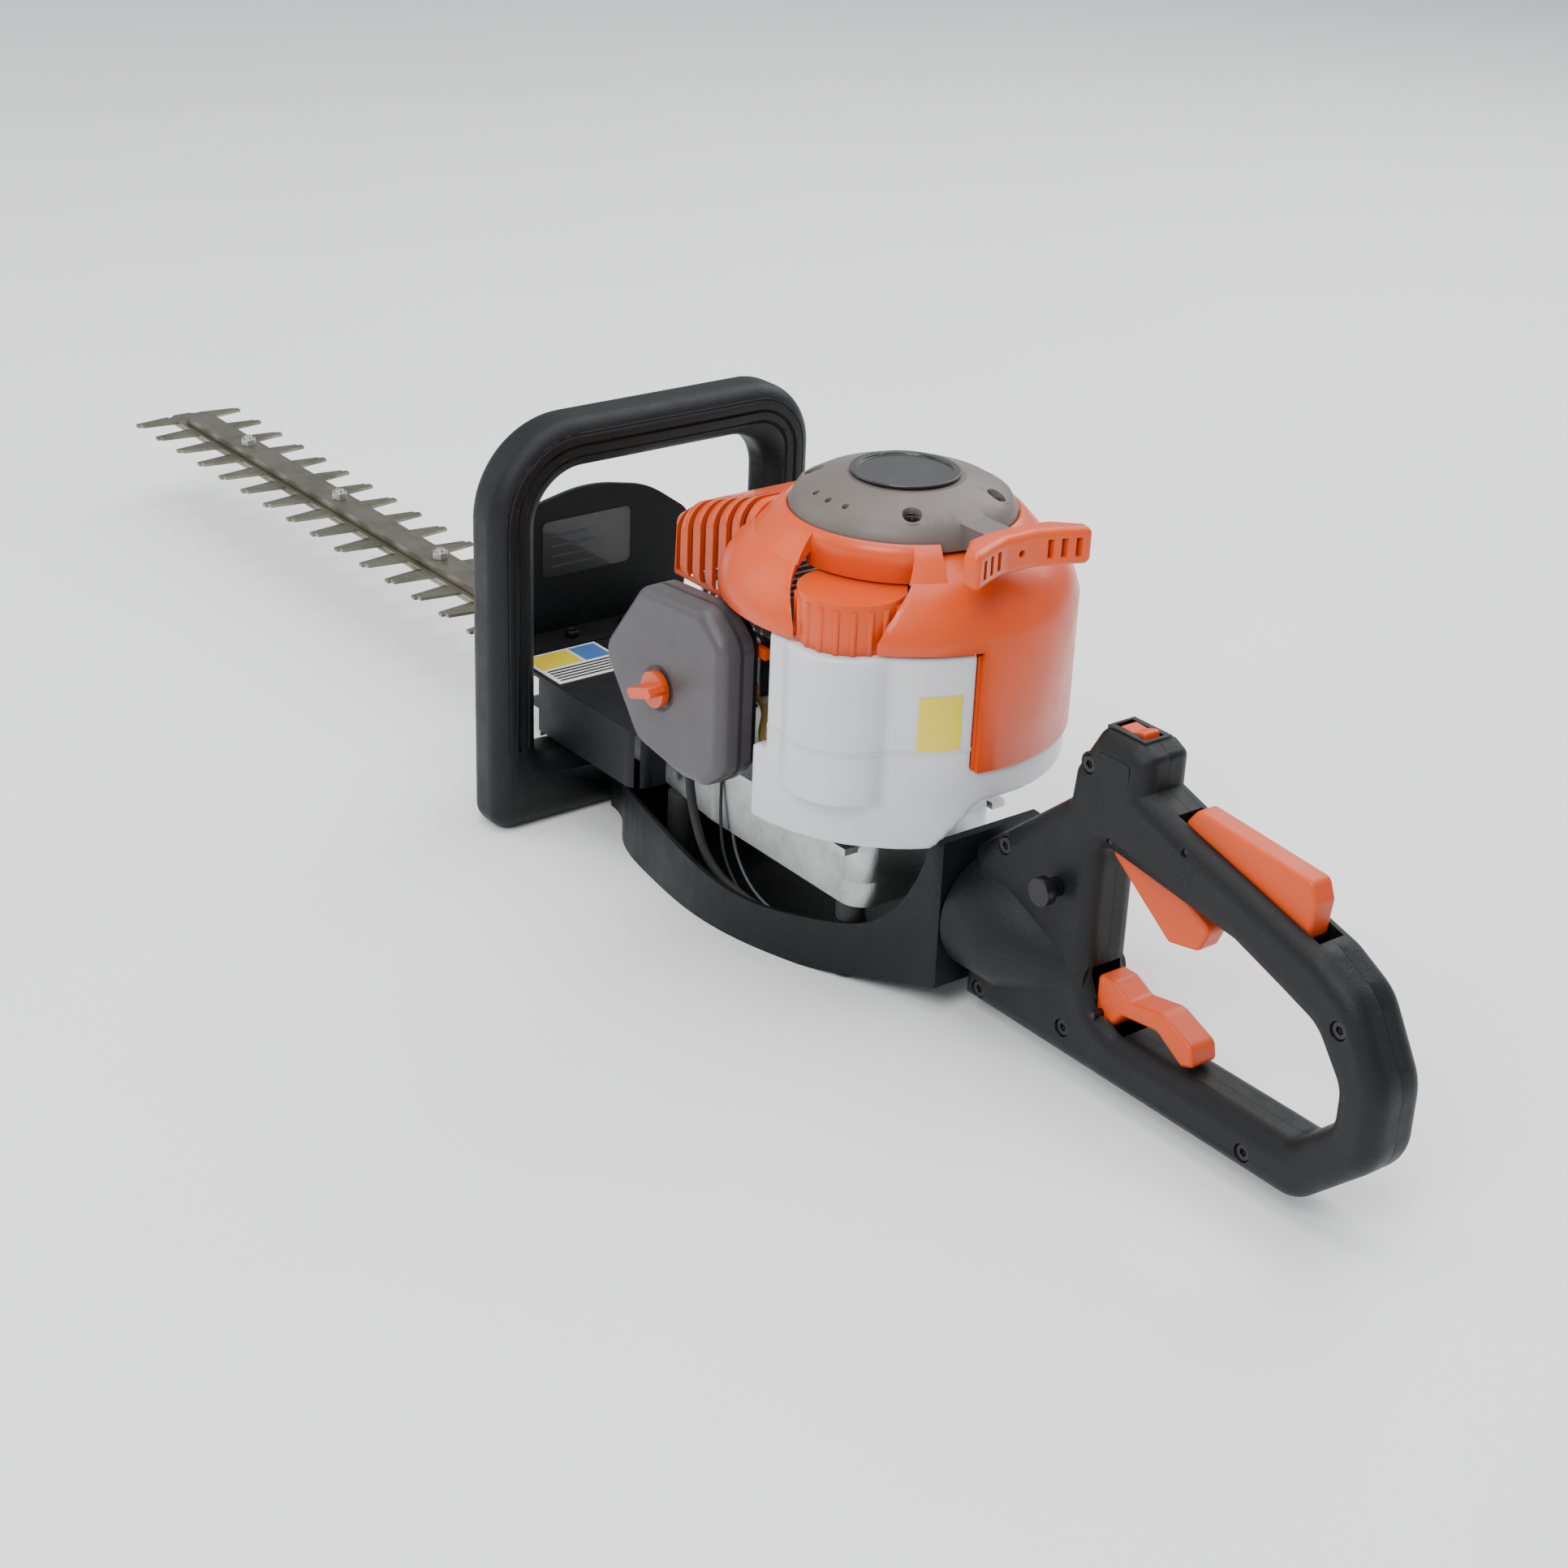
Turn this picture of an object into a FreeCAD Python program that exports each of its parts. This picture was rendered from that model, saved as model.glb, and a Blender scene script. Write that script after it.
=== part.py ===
import FreeCAD, Part
import math
import os
import Sketcher
from types import SimpleNamespace

# Petrol hedge trimmer with a double-sided, double-acting blade.
# Frame: +X runs from the blade to the rear handle, +Z is up, and the floor is z = 0.
# The origin is on the floor, on the middle plane, under the front handle.
# The operator's left (filter, fuel cap) is -Y, and the right (muffler) is +Y.

DRIVING = {
    # blades
    "tooth_pitch": 35, "tooth_base": 13, "tooth_end": 4.5, "tooth_reach": 27, "spine_half": 14,
    "blade_thick": 2.2, "blade_gap": 0.2, "blade_z": 61.5, "blade_throw": 8, "tooth_offset": 8.75,
    "guide_half": 10, "guide_thick": 5, "yoke_rim": 6, "blade_bolt_r": 3, "slot_room": 0.35,
    # gear train
    "gear_module": 1.5, "gear_width": 7, "cam_r": 12, "journal_r": 5, "bearing_r": 11, "bearing_width": 4,
    "run_gap": 0.05,
    # gear case
    "nose_x": -38, "nose_half": 38, "case_half": 48, "case_wall": 4, "case_floor_z": 45.5,
    "case_split_z": 60, "case_top_z": 84, "case_rear_gap": 38,
    # front handle
    "loop_width": 226, "loop_height": 248.5, "loop_depth": 34, "bar_width": 30, "base_height": 45,
    "loop_left_corner": 58, "loop_right_corner": 42, "loop_round": 12,
    # cradle
    "cradle_half": 72, "cradle_wall": 3, "swivel_x": 322, "swivel_z": 58, "spigot_r": 18,
    # rear handle
    "grip_half": 17, "grip_thick": 29, "handle_length": 279, "handle_base_z": 10, "handle_round": 10,
    "shell_wall": 3, "housing_r": 34,
    # engine
    "crankcase_r": 35, "crankcase_height": 68, "housing_height": 34, "bore_r": 17, "fin_half": 38,
    "cylinder_length": 90, "crank_throw": 13, "flywheel_r": 39, "flywheel_height": 26,
    "shroud_r": 95, "shroud_wall": 3, "skirt_drop": 108, "starter_r": 60, "starter_dome": 22, "pulley_r": 34,
    # tank
    "tank_inner_r": 60, "tank_wall": 2.5, "tank_low_z": 100, "tank_mid_z": 142, "tank_top_z": 207,
    "filler_x": 36, "filler_y": -61, "filler_r": 33.5, "neck_r": 23, "cap_r": 29, "cap_height": 26,
    # intake and exhaust
    "filter_face_y": -105, "filter_depth": 22, "muffler_depth": 52,
    # fasteners
    "screw_r": 2.5, "screw_head_r": 4.4, "screw_head": 4, "screw_length": 16, "fit_gap": 0.1,
}

GEAR_TEETH = 42
PINION_TEETH = 12
TEETH_PER_SIDE = 17
PRESSURE_ANGLE = math.radians(25)
BACKLASH = 0.3

doc = FreeCAD.newDocument("hedge_trimmer")
sheet = doc.addObject("Spreadsheet::Sheet", "dims")
for row, (alias, number) in enumerate(DRIVING.items(), start=1):
    sheet.set(f"A{row}", alias)
    sheet.set(f"B{row}", str(number))
    sheet.setAlias(f"B{row}", alias)
doc.recompute()


class Size:
    """A length that carries its value and the sheet formula that gives it."""

    def __init__(self, value, formula):
        self.value = float(value)
        self.formula = formula

    def joined(self, sign, other, swapped=False):
        left, right = (as_size(other), self) if swapped else (self, as_size(other))
        value = {"+": left.value + right.value, "-": left.value - right.value,
                 "*": left.value * right.value, "/": left.value / (right.value or 1.0)}[sign]
        return Size(value, f"({left.formula} {sign} {right.formula})")

    def __add__(self, other):
        return self.joined("+", other)

    def __radd__(self, other):
        return self.joined("+", other, True)

    def __sub__(self, other):
        return self.joined("-", other)

    def __rsub__(self, other):
        return self.joined("-", other, True)

    def __mul__(self, other):
        return self.joined("*", other)

    def __rmul__(self, other):
        return self.joined("*", other, True)

    def __truediv__(self, other):
        return self.joined("/", other)

    def __neg__(self):
        return self.joined("*", -1)

    def __float__(self):
        return self.value


def as_size(number):
    return number if isinstance(number, Size) else Size(number, f"({float(number):.6f})")


D = SimpleNamespace(**{alias: Size(number, "dims." + alias) for alias, number in DRIVING.items()})

# Places that follow from the driving sizes.
UPPER_Z = D.blade_z + D.blade_thick + D.blade_gap
BLADE_TOP = UPPER_Z + D.blade_thick
GUIDE_Z = BLADE_TOP + 0.3
GUIDE_TOP = GUIDE_Z + D.guide_thick
GEAR_Z = BLADE_TOP + 2.4
GEAR_R = D.gear_module * (GEAR_TEETH / 2)
PINION_R = D.gear_module * (PINION_TEETH / 2)
GEAR_X = D.swivel_x - 127.5
ENGINE_X = GEAR_X + GEAR_R + PINION_R
CASE_END = ENGINE_X + D.case_rear_gap
LOOP_HALF = D.loop_width / 2
LOOP_FRONT = -(D.loop_depth / 2)
LOOP_BACK = D.loop_depth / 2
HOUSING_TOP = D.case_top_z + D.housing_height
CRANKCASE_TOP = HOUSING_TOP + D.crankcase_height
CYLINDER_Z = HOUSING_TOP + D.crankcase_height / 2
FLYWHEEL_Z = D.tank_top_z + 2
SHROUD_TOP = FLYWHEEL_Z + D.flywheel_height + 15
SHROUD_BASE = SHROUD_TOP - D.skirt_drop
PULLEY_Z = SHROUD_TOP + 1.5
DOME_TOP = SHROUD_TOP + D.starter_dome
ROPE_Z = SHROUD_TOP + 7
CYLINDER_BACK = ENGINE_X - 36
CYLINDER_FRONT = CYLINDER_BACK - D.cylinder_length
FILLER_X = ENGINE_X + D.filler_x
FILTER_X = ENGINE_X - 68
FILTER_Z = CYLINDER_Z + 5
HANDLE_X = D.swivel_x + 2
HANDLE_END = HANDLE_X + D.handle_length
HANDLE_TOP = D.swivel_z + 138
SWITCH_X = HANDLE_END - 184
GRIP_X = ENGINE_X + D.starter_r + 18.5
FILTER_BACK = D.filter_face_y + D.filter_depth
CARB_Z = CYLINDER_Z

AXIS_TURN = {
    "x": FreeCAD.Rotation(FreeCAD.Vector(0, 1, 0), 90),
    "y": FreeCAD.Rotation(FreeCAD.Vector(1, 0, 0), -90),
    "z": FreeCAD.Rotation(),
}
AXIS_INDEX = {"x": 0, "y": 1, "z": 2}
# For each origin plane: the index of its two sketch axes, of its normal, and the normal's sign.
PLANES = {"XY_Plane": (0, 1, 2, 1), "XZ_Plane": (0, 2, 1, -1), "YZ_Plane": (1, 2, 0, 1)}


def bind(item, prop, size):
    item.setExpression(prop, as_size(size).formula)


def place(item, at, turn=None):
    item.Placement = FreeCAD.Placement(FreeCAD.Vector(), turn or FreeCAD.Rotation())
    for axis, size in zip("xyz", at):
        bind(item, f"Placement.Base.{axis}", size)
    return item


def box(x, y, z):
    """A block between two limits on each axis."""
    block = doc.addObject("Part::Box", "block")
    for prop, (low, high) in zip(("Length", "Width", "Height"), (x, y, z)):
        bind(block, prop, high - low)
    return place(block, (x[0], y[0], z[0]))


def rod(at, radius, length, axis="z"):
    """A cylinder that starts at a point and runs along an axis."""
    cylinder = doc.addObject("Part::Cylinder", "rod")
    bind(cylinder, "Radius", radius)
    bind(cylinder, "Height", length)
    return place(cylinder, at, AXIS_TURN[axis])


def cone(at, start_radius, end_radius, length, axis="z"):
    taper = doc.addObject("Part::Cone", "taper")
    bind(taper, "Radius1", start_radius)
    bind(taper, "Radius2", end_radius)
    bind(taper, "Height", length)
    return place(taper, at, AXIS_TURN[axis])


def fuse(*items):
    joined = doc.addObject("Part::MultiFuse", "joined")
    joined.Shapes = list(items)
    return joined


def cut(base, *tools):
    trimmed = doc.addObject("Part::Cut", "trimmed")
    trimmed.Base = base
    trimmed.Tool = tools[0] if len(tools) == 1 else fuse(*tools)
    return trimmed


def common(*items):
    shared = doc.addObject("Part::MultiCommon", "shared")
    shared.Shapes = list(items)
    return shared


def tube(at, outer, inner, length, axis="z"):
    """A cylinder with a bore right through it."""
    start = list(at)
    start[AXIS_INDEX[axis]] = start[AXIS_INDEX[axis]] - 1
    return cut(rod(at, outer, length, axis), rod(start, inner, length + 2, axis))


def group(*items):
    """Separate solids that share one node."""
    bundle = doc.addObject("Part::Compound", "bundle")
    bundle.Links = list(items)
    return bundle


def origin_plane(body, role):
    return next(feature for feature in body.Origin.OriginFeatures if feature.Role == role)


def outline_sketch(body, role, points, level):
    """A closed outline of straight sides on an origin plane, moved along it to a level."""
    sketch = body.newObject("Sketcher::SketchObject", "outline")
    sketch.AttachmentSupport = [(origin_plane(body, role), "")]
    sketch.MapMode = "FlatFace"
    bind(sketch, "AttachmentOffset.Base.z", level * PLANES[role][3])
    corners = [FreeCAD.Vector(float(p[0]), float(p[1]), 0) for p in points]
    for index, start in enumerate(corners):
        sketch.addGeometry(Part.LineSegment(start, corners[(index + 1) % len(corners)]), False)
    for index, point in enumerate(points):
        following = (index + 1) % len(points)
        sketch.addConstraint(Sketcher.Constraint("Coincident", index, 2, following, 1))
        for kind, size in zip(("DistanceX", "DistanceY"), point):
            number = sketch.addConstraint(Sketcher.Constraint(kind, -1, 1, index, 1, float(size)))
            if isinstance(size, Size):
                name = f"{kind}_{index}"
                sketch.renameConstraint(number, name)
                sketch.setExpression(f"Constraints.{name}", size.formula)
    return sketch


def edge_names(shape, pick):
    return [f"Edge{n}" for n, edge in enumerate(shape.Edges, start=1) if pick(edge)]


def along_normal(normal):
    """A test for straight edges that run along an axis."""
    def pick(edge):
        ends = [vertex.Point for vertex in edge.Vertexes]
        if len(ends) != 2:
            return False
        run = ends[1] - ends[0]
        return abs(abs(run[normal]) - run.Length) < 1e-6 and run.Length > 0.1
    return pick


def at_corner(role, point):
    """A test for the straight edges that stand on one corner of an outline."""
    first, second, normal, _ = PLANES[role]
    upright = along_normal(normal)

    def pick(edge):
        place_of = edge.Vertexes[0].Point
        near = abs(place_of[first] - float(point[0])) < 1e-4 and abs(place_of[second] - float(point[1])) < 1e-4
        return near and upright(edge)
    return pick


def round_edges(body, base, radius, pick):
    doc.recompute()
    names = edge_names(base.Shape, pick)
    if not names:
        raise RuntimeError(f"no edge to round on {body.Label}")
    feature = body.newObject("PartDesign::Fillet", "rounding")
    feature.Base = (base, names)
    bind(feature, "Radius", radius)
    body.Tip = feature
    doc.recompute()
    if feature.Shape.isNull() or "Invalid" in feature.State:
        raise RuntimeError(f"rounding of {float(radius)} failed on {body.Label}")
    return feature


def level_edges(normal, level):
    """A test for the edges that lie in one level plane."""
    def pick(edge):
        box_of = edge.BoundBox
        low = (box_of.XMin, box_of.YMin, box_of.ZMin)[normal]
        high = (box_of.XMax, box_of.YMax, box_of.ZMax)[normal]
        return abs(low - float(level)) < 1e-3 and abs(high - float(level)) < 1e-3
    return pick


def slab(role, points, low, high, rim=0, low_rim=None, opening=()):
    """A body padded from an outline between two levels, with an opening right through it.

    A point's third value rounds its corner. rim rounds the edges of the high face, and low_rim
    those of the low one, which otherwise get the same.
    """
    body = doc.addObject("PartDesign::Body", "plate")
    sign = PLANES[role][3]
    sketch = outline_sketch(body, role, [p[:2] for p in points], low if sign > 0 else high)
    tip = body.newObject("PartDesign::Pad", "pad")
    tip.Profile = sketch
    bind(tip, "Length", as_size(high) - low)
    body.Tip = tip
    if opening:
        tip = body.newObject("PartDesign::Pocket", "opening")
        tip.Profile = outline_sketch(body, role, [p[:2] for p in opening], high if sign > 0 else low)
        bind(tip, "Length", as_size(high) - low)
        body.Tip = tip
    corners = list(points) + list(opening)
    for radius in sorted({float(p[2]) for p in corners if len(p) > 2}):
        chosen = [p for p in corners if len(p) > 2 and float(p[2]) == radius]
        tests = [at_corner(role, p) for p in chosen]
        tip = round_edges(body, tip, chosen[0][2], lambda edge: any(test(edge) for test in tests))
    normal = PLANES[role][2]
    for level, size in ((high, rim), (low, rim if low_rim is None else low_rim)):
        if float(size) > 0:
            tip = round_edges(body, tip, size, level_edges(normal, level))
    return body


def curved_slab(role, runs, low, high):
    """A plate whose outline has fair curves, each drawn through its points.

    A run of two points is a straight side, and a longer one is a curve. The runs follow each other.
    """
    first, second, normal, _ = PLANES[role]

    def spot(point, level):
        at = [0.0, 0.0, 0.0]
        at[first], at[second], at[normal] = float(point[0]), float(point[1]), float(level)
        return FreeCAD.Vector(*at)

    edges = []
    for run in runs:
        spots = [spot(point, low) for point in run]
        if len(spots) == 2:
            edges.append(Part.LineSegment(*spots).toShape())
        else:
            curve = Part.BSplineCurve()
            curve.interpolate(spots)
            edges.append(curve.toShape())
    rise = spot((0, 0), high) - spot((0, 0), low)
    plate = doc.addObject("Part::Feature", "curved_plate")
    plate.Shape = Part.Face(Part.Wire(edges)).extrude(rise)
    return plate


def spun(centre, points):
    """A body turned about a vertical axis from an outline of (radius, z) points."""
    body = doc.addObject("PartDesign::Body", "turning")
    sketch = outline_sketch(body, "XZ_Plane", points, as_size(0))
    feature = body.newObject("PartDesign::Revolution", "revolution")
    feature.Profile = sketch
    feature.ReferenceAxis = (sketch, ["V_Axis"])
    feature.Angle = 360
    body.Tip = feature
    bind(body, "Placement.Base.x", centre[0])
    bind(body, "Placement.Base.y", centre[1])
    return body


def sector(centre, radius, low, high, start, end):
    """A wedge about a vertical axis, between two angles in degrees."""
    steps = max(2, math.ceil((end - start) / 60))
    reach = radius * 2
    points = [centre]
    for step in range(steps + 1):
        angle = math.radians(start + (end - start) * step / steps)
        points.append((centre[0] + reach * math.cos(angle), centre[1] + reach * math.sin(angle)))
    return slab("XY_Plane", points, low, high)


def screw(at, axis, side, length=None):
    """One cap screw. at is under its head, and side is the way its shank points."""
    length = length or D.screw_length
    index = AXIS_INDEX[axis]
    head_at = list(at)
    shank_at = list(at)
    if side > 0:
        head_at[index] = head_at[index] - D.screw_head
    else:
        shank_at[index] = shank_at[index] - length
    socket_at = list(head_at)
    socket_at[index] = socket_at[index] + (D.screw_head / 2 if side < 0 else -1)
    head = cut(rod(head_at, D.screw_head_r, D.screw_head, axis),
               rod(socket_at, D.screw_r * 0.8, D.screw_head / 2 + 1, axis))
    return fuse(head, rod(shank_at, D.screw_r, length, axis))


def screw_hole(at, axis, side, length=None):
    """The hole for such a screw, a little wider and longer than its shank."""
    length = (length or D.screw_length) + 0.5
    index = AXIS_INDEX[axis]
    start = list(at)
    start[index] = start[index] - (length if side < 0 else 0)
    return rod(start, D.screw_r + D.fit_gap, length, axis)


def gear_shape(teeth, module, width, phase):
    """A spur gear with involute flanks, each tooth thinned by half the backlash."""
    pitch_r = module * teeth / 2
    base_r = pitch_r * math.cos(PRESSURE_ANGLE)
    outer_r = pitch_r + module * 0.95
    root_r = pitch_r - module * 1.25
    half_tooth = math.pi / 2 / teeth - BACKLASH / 4 / pitch_r
    roll = math.tan(PRESSURE_ANGLE) - PRESSURE_ANGLE

    def flank_angle(radius):
        slope = math.acos(min(1.0, base_r / radius))
        return half_tooth + roll - (math.tan(slope) - slope)

    start_r = max(base_r, root_r + 0.05)
    steps = 4
    radii = [start_r + (outer_r - start_r) * step / steps for step in range(steps + 1)]
    points = []
    for tooth in range(teeth):
        middle = phase + 2 * math.pi * tooth / teeth
        left = [(r, middle - flank_angle(r)) for r in radii]
        right = [(r, middle + flank_angle(r)) for r in reversed(radii)]
        foot = flank_angle(start_r)
        for radius, angle in [(root_r, middle - foot)] + left + right + [(root_r, middle + foot)]:
            points.append(FreeCAD.Vector(radius * math.cos(angle), radius * math.sin(angle), 0))
    points.append(points[0])
    return Part.Face(Part.makePolygon(points)).extrude(FreeCAD.Vector(0, 0, width))


def gear(at, teeth, phase):
    wheel = doc.addObject("Part::Feature", "gear_wheel")
    wheel.Shape = gear_shape(teeth, float(D.gear_module), float(D.gear_width), phase)
    return place(wheel, at)


# ---------------------------------------------------------------- cutting head

def tooth_outlines(side):
    """One tooth of a blade, leaning a little, on one side of its spine."""
    base = D.tooth_base / 2
    end = D.tooth_end / 2
    root = (D.spine_half - 1) * side
    tip = (D.spine_half + D.tooth_reach) * side
    points = [(-base, root), (base, root), (end, tip), (-end, tip)]
    return points if side > 0 else points[::-1]


def blade(low, shift):
    """A blade: a slotted spine with teeth on both sides, and the yoke that a cam drives.

    The yoke is open at the back, where the pinion shaft stands.
    """
    first = -(D.tooth_pitch * (TEETH_PER_SIDE - 1)) - 62
    window_x = D.cam_r + D.blade_throw * 2 + D.slot_room * 1.5
    window_y = D.cam_r + D.blade_throw + D.slot_room * 1.5
    spine_start = first - D.tooth_base / 2 + shift
    high = low + D.blade_thick
    spine = slab("XY_Plane", [(spine_start - 2, -D.spine_half + 7, 4), (spine_start + 8, -D.spine_half),
                              (GEAR_X - window_x, -D.spine_half), (GEAR_X - window_x, D.spine_half),
                              (spine_start + 8, D.spine_half), (spine_start - 2, D.spine_half - 7, 4)],
                 low, high)
    outer_x = window_x + D.yoke_rim
    outer_y = window_y + D.yoke_rim
    yoke = slab("XY_Plane", [(GEAR_X - outer_x, -outer_y, 6), (GEAR_X + outer_x, -outer_y, 6),
                             (GEAR_X + outer_x, outer_y, 6), (GEAR_X - outer_x, outer_y, 6)], low, high)
    window = box((GEAR_X - window_x, GEAR_X + window_x), (-window_y, window_y), (low - 1, high + 1))
    shaft_half = D.journal_r + D.slot_room * 2
    shaft_gap = box((GEAR_X + window_x - 1, GEAR_X + outer_x + 1), (-shaft_half, shaft_half), (low - 1, high + 1))
    sides = []
    for side in (1, -1):
        tooth = slab("XY_Plane", tooth_outlines(side), low, high)
        row = doc.addObject("Part::Compound", "tooth_row")
        copies = []
        for index in range(TEETH_PER_SIDE):
            link = doc.addObject("App::Link", "tooth")
            link.LinkedObject = tooth
            place(link, (first + D.tooth_pitch * index + shift, 0, 0))
            copies.append(link)
        row.Links = copies
        sides.append(row)
    return cut(fuse(spine, yoke, *sides), window, shaft_gap, *blade_slots(low, high))


def bolt_places():
    """The blade bolts stand along the spine, one every third tooth."""
    return [-(D.tooth_pitch * step) - 100 for step in (0, 4, 8, 12)] + [as_size(20)]


def blade_slots(low, high):
    half = D.blade_bolt_r + D.slot_room
    reach = D.blade_throw + half
    slots = []
    for x in bolt_places():
        slots.append(box((x - reach + half, x + reach - half), (-half, half), (low - 1, high + 1)))
        slots.append(rod((x - reach + half, 0, low - 1), half, high - low + 2))
        slots.append(rod((x + reach - half, 0, low - 1), half, high - low + 2))
    return slots


def upper_blade():
    return blade(UPPER_Z, D.tooth_offset / 2)


def lower_blade():
    return blade(D.blade_z, -(D.tooth_offset / 2))


def guide_bar():
    start = -(D.tooth_pitch * (TEETH_PER_SIDE - 1)) - 50
    end = GEAR_X - GEAR_R - 6
    bar = slab("XY_Plane", [(start, -D.guide_half, 8), (end, -D.guide_half), (end, D.guide_half),
                            (start, D.guide_half, 8)], GUIDE_Z, GUIDE_TOP)
    holes = [rod((x, 0, GUIDE_Z - 1), D.blade_bolt_r, D.guide_thick + 2) for x in bolt_places()]
    return cut(bar, *holes)


def blade_bolts():
    bolts = []
    for x in bolt_places():
        head_z = D.blade_z - D.blade_gap - 3.5
        head = cone((x, 0, head_z), D.blade_bolt_r + 2, D.blade_bolt_r + 3, 3.5)
        bolts.append(fuse(head, rod((x, 0, head_z + 3), D.blade_bolt_r, GUIDE_TOP + 7 - head_z - 3)))
    return group(*bolts)


def hexagon(centre, across):
    radius = across / math.sqrt(3)
    turns = [math.radians(30 + 60 * step) for step in range(6)]
    return [(centre[0] + radius * math.cos(turn), centre[1] + radius * math.sin(turn)) for turn in turns]


def blade_nuts():
    nuts = []
    for x in bolt_places():
        body = slab("XY_Plane", hexagon((x, as_size(0)), as_size(10)), GUIDE_TOP, GUIDE_TOP + 5)
        nuts.append(cut(body, rod((x, 0, GUIDE_TOP - 1), D.blade_bolt_r, 8)))
    return group(*nuts)


# ---------------------------------------------------------------- gear case

CASE_BEARINGS_Z = (D.case_floor_z + D.case_wall, D.case_top_z - D.case_wall - D.bearing_width)


def case_outline(start, half, grow):
    """The case from above: a nose that widens over the gears."""
    wide = D.case_half - grow
    return [(start + grow, -(half - grow), 10), (as_size(60), -(half - grow)), (as_size(140), -wide),
            (CASE_END - grow, -wide, 14), (CASE_END - grow, wide, 14), (as_size(140), wide),
            (as_size(60), half - grow), (start + grow, half - grow, 10)]


def case_screw_places():
    return [(x, side * y) for side in (1, -1)
            for x, y in ((D.nose_x + 14, D.nose_half - 7), (as_size(70), D.nose_half - 4),
                         (CASE_END - 62, D.case_half - 9))]


def bearing_seats(low):
    """Cups that stand out from the case wall and hold one bearing each."""
    return [tube((x, 0, low), D.bearing_r + 3, D.bearing_r, D.bearing_width) for x in (GEAR_X, ENGINE_X)]


def case_posts(low, high):
    return [rod((x, y, low), D.screw_head_r + 1.5, high - low) for x, y in case_screw_places()]


def gear_case_lower():
    low, high = D.case_floor_z, D.case_split_z
    outer = slab("XY_Plane", case_outline(D.nose_x, D.nose_half, as_size(0)), low, high)
    inner = slab("XY_Plane", case_outline(D.nose_x, D.nose_half, D.case_wall), low + D.case_wall, high + 1)
    lug_x = (D.nose_x + 10, D.nose_x + 30)
    lugs = [box(lug_x, (-D.nose_half - 30, -D.nose_half), (low, high + 3)),
            box(lug_x, (D.nose_half, D.nose_half + 30), (low, high + 3))]
    shell = fuse(cut(outer, inner), *case_posts(low, high), *bearing_seats(CASE_BEARINGS_Z[0]), *lugs)
    holes = [screw_hole((x, y, low), "z", 1) for x, y in case_screw_places()]
    return cut(shell, *holes)


def gear_case_upper():
    low, high = D.case_split_z, D.case_top_z
    wall = D.case_wall
    outer = slab("XY_Plane", case_outline(D.nose_x, D.nose_half, as_size(0)), low, high)
    inner = slab("XY_Plane", case_outline(D.nose_x, D.nose_half, wall), low - 1, high - wall)
    nose = box((D.nose_x - 20, D.nose_x + 1), (-D.nose_half + 6, D.nose_half - 6), (GUIDE_TOP, high))
    rib = box((D.nose_x - 20, as_size(60)), (-D.guide_half + 1, D.guide_half - 1), (GUIDE_TOP, high - wall))
    mouth = box((D.nose_x - 2, D.nose_x + wall + 2), (-(D.spine_half + 1), D.spine_half + 1),
                (low - 1, GUIDE_TOP))
    ears = [box((ENGINE_X + 11, ENGINE_X + 35), (side[0], side[1]), (high - wall, high))
            for side in ((-D.case_half - 8, -D.case_half + 1), (D.case_half - 1, D.case_half + 8))]
    posts = case_posts(low, high - wall)
    shell = fuse(cut(outer, inner), nose, rib, *posts, *bearing_seats(CASE_BEARINGS_Z[1]), *ears)
    bores = [rod((GEAR_X, 0, high - wall - 1), D.journal_r + 0.3, wall - 1.5),
             rod((ENGINE_X, 0, high - wall - 1), D.journal_r + 0.3, wall + 2)]
    nut_room = [rod((as_size(20), 0, GUIDE_TOP), 7, 8)]
    holes = [screw_hole((x, y, D.case_floor_z), "z", 1) for x, y in case_screw_places()]
    holes += [screw_hole(at, "z", -1) for at in guard_screw_places()]
    return cut(shell, mouth, *bores, *nut_room, *holes)


def gear_case_cover():
    """The black cap over the case nose, with its overhanging label plate."""
    low, high = D.case_floor_z + 5, D.case_top_z
    wall = 2.5
    half = D.nose_half + 32
    front, back = D.nose_x + 31, as_size(96)
    block = slab("XY_Plane", [(front, -half), (back, -half, 12), (back, half, 12), (front, half)], low, high + wall)
    hood = cut(block, box((front - 1, back - wall), (-half + wall, half - wall), (low - 1, high)))
    plate = box((D.nose_x + 5, front + 1), (-half, half), (high, high + wall))
    back_room = box((back - wall - 1, back + 1), (-D.case_half - 0.5, D.case_half + 0.5), (low - 1, high))
    return cut(fuse(hood, plate), back_room)


def shaft_bearings():
    rings = [tube((x, 0, z), D.bearing_r, D.journal_r + D.run_gap, D.bearing_width)
             for x in (GEAR_X, ENGINE_X) for z in CASE_BEARINGS_Z]
    rings += [tube((ENGINE_X, 0, z), D.bearing_r, D.journal_r + D.run_gap, D.bearing_width)
              for z in (HOUSING_TOP + 1, CRANKCASE_TOP - 1 - D.bearing_width)]
    return group(*rings)


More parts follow.
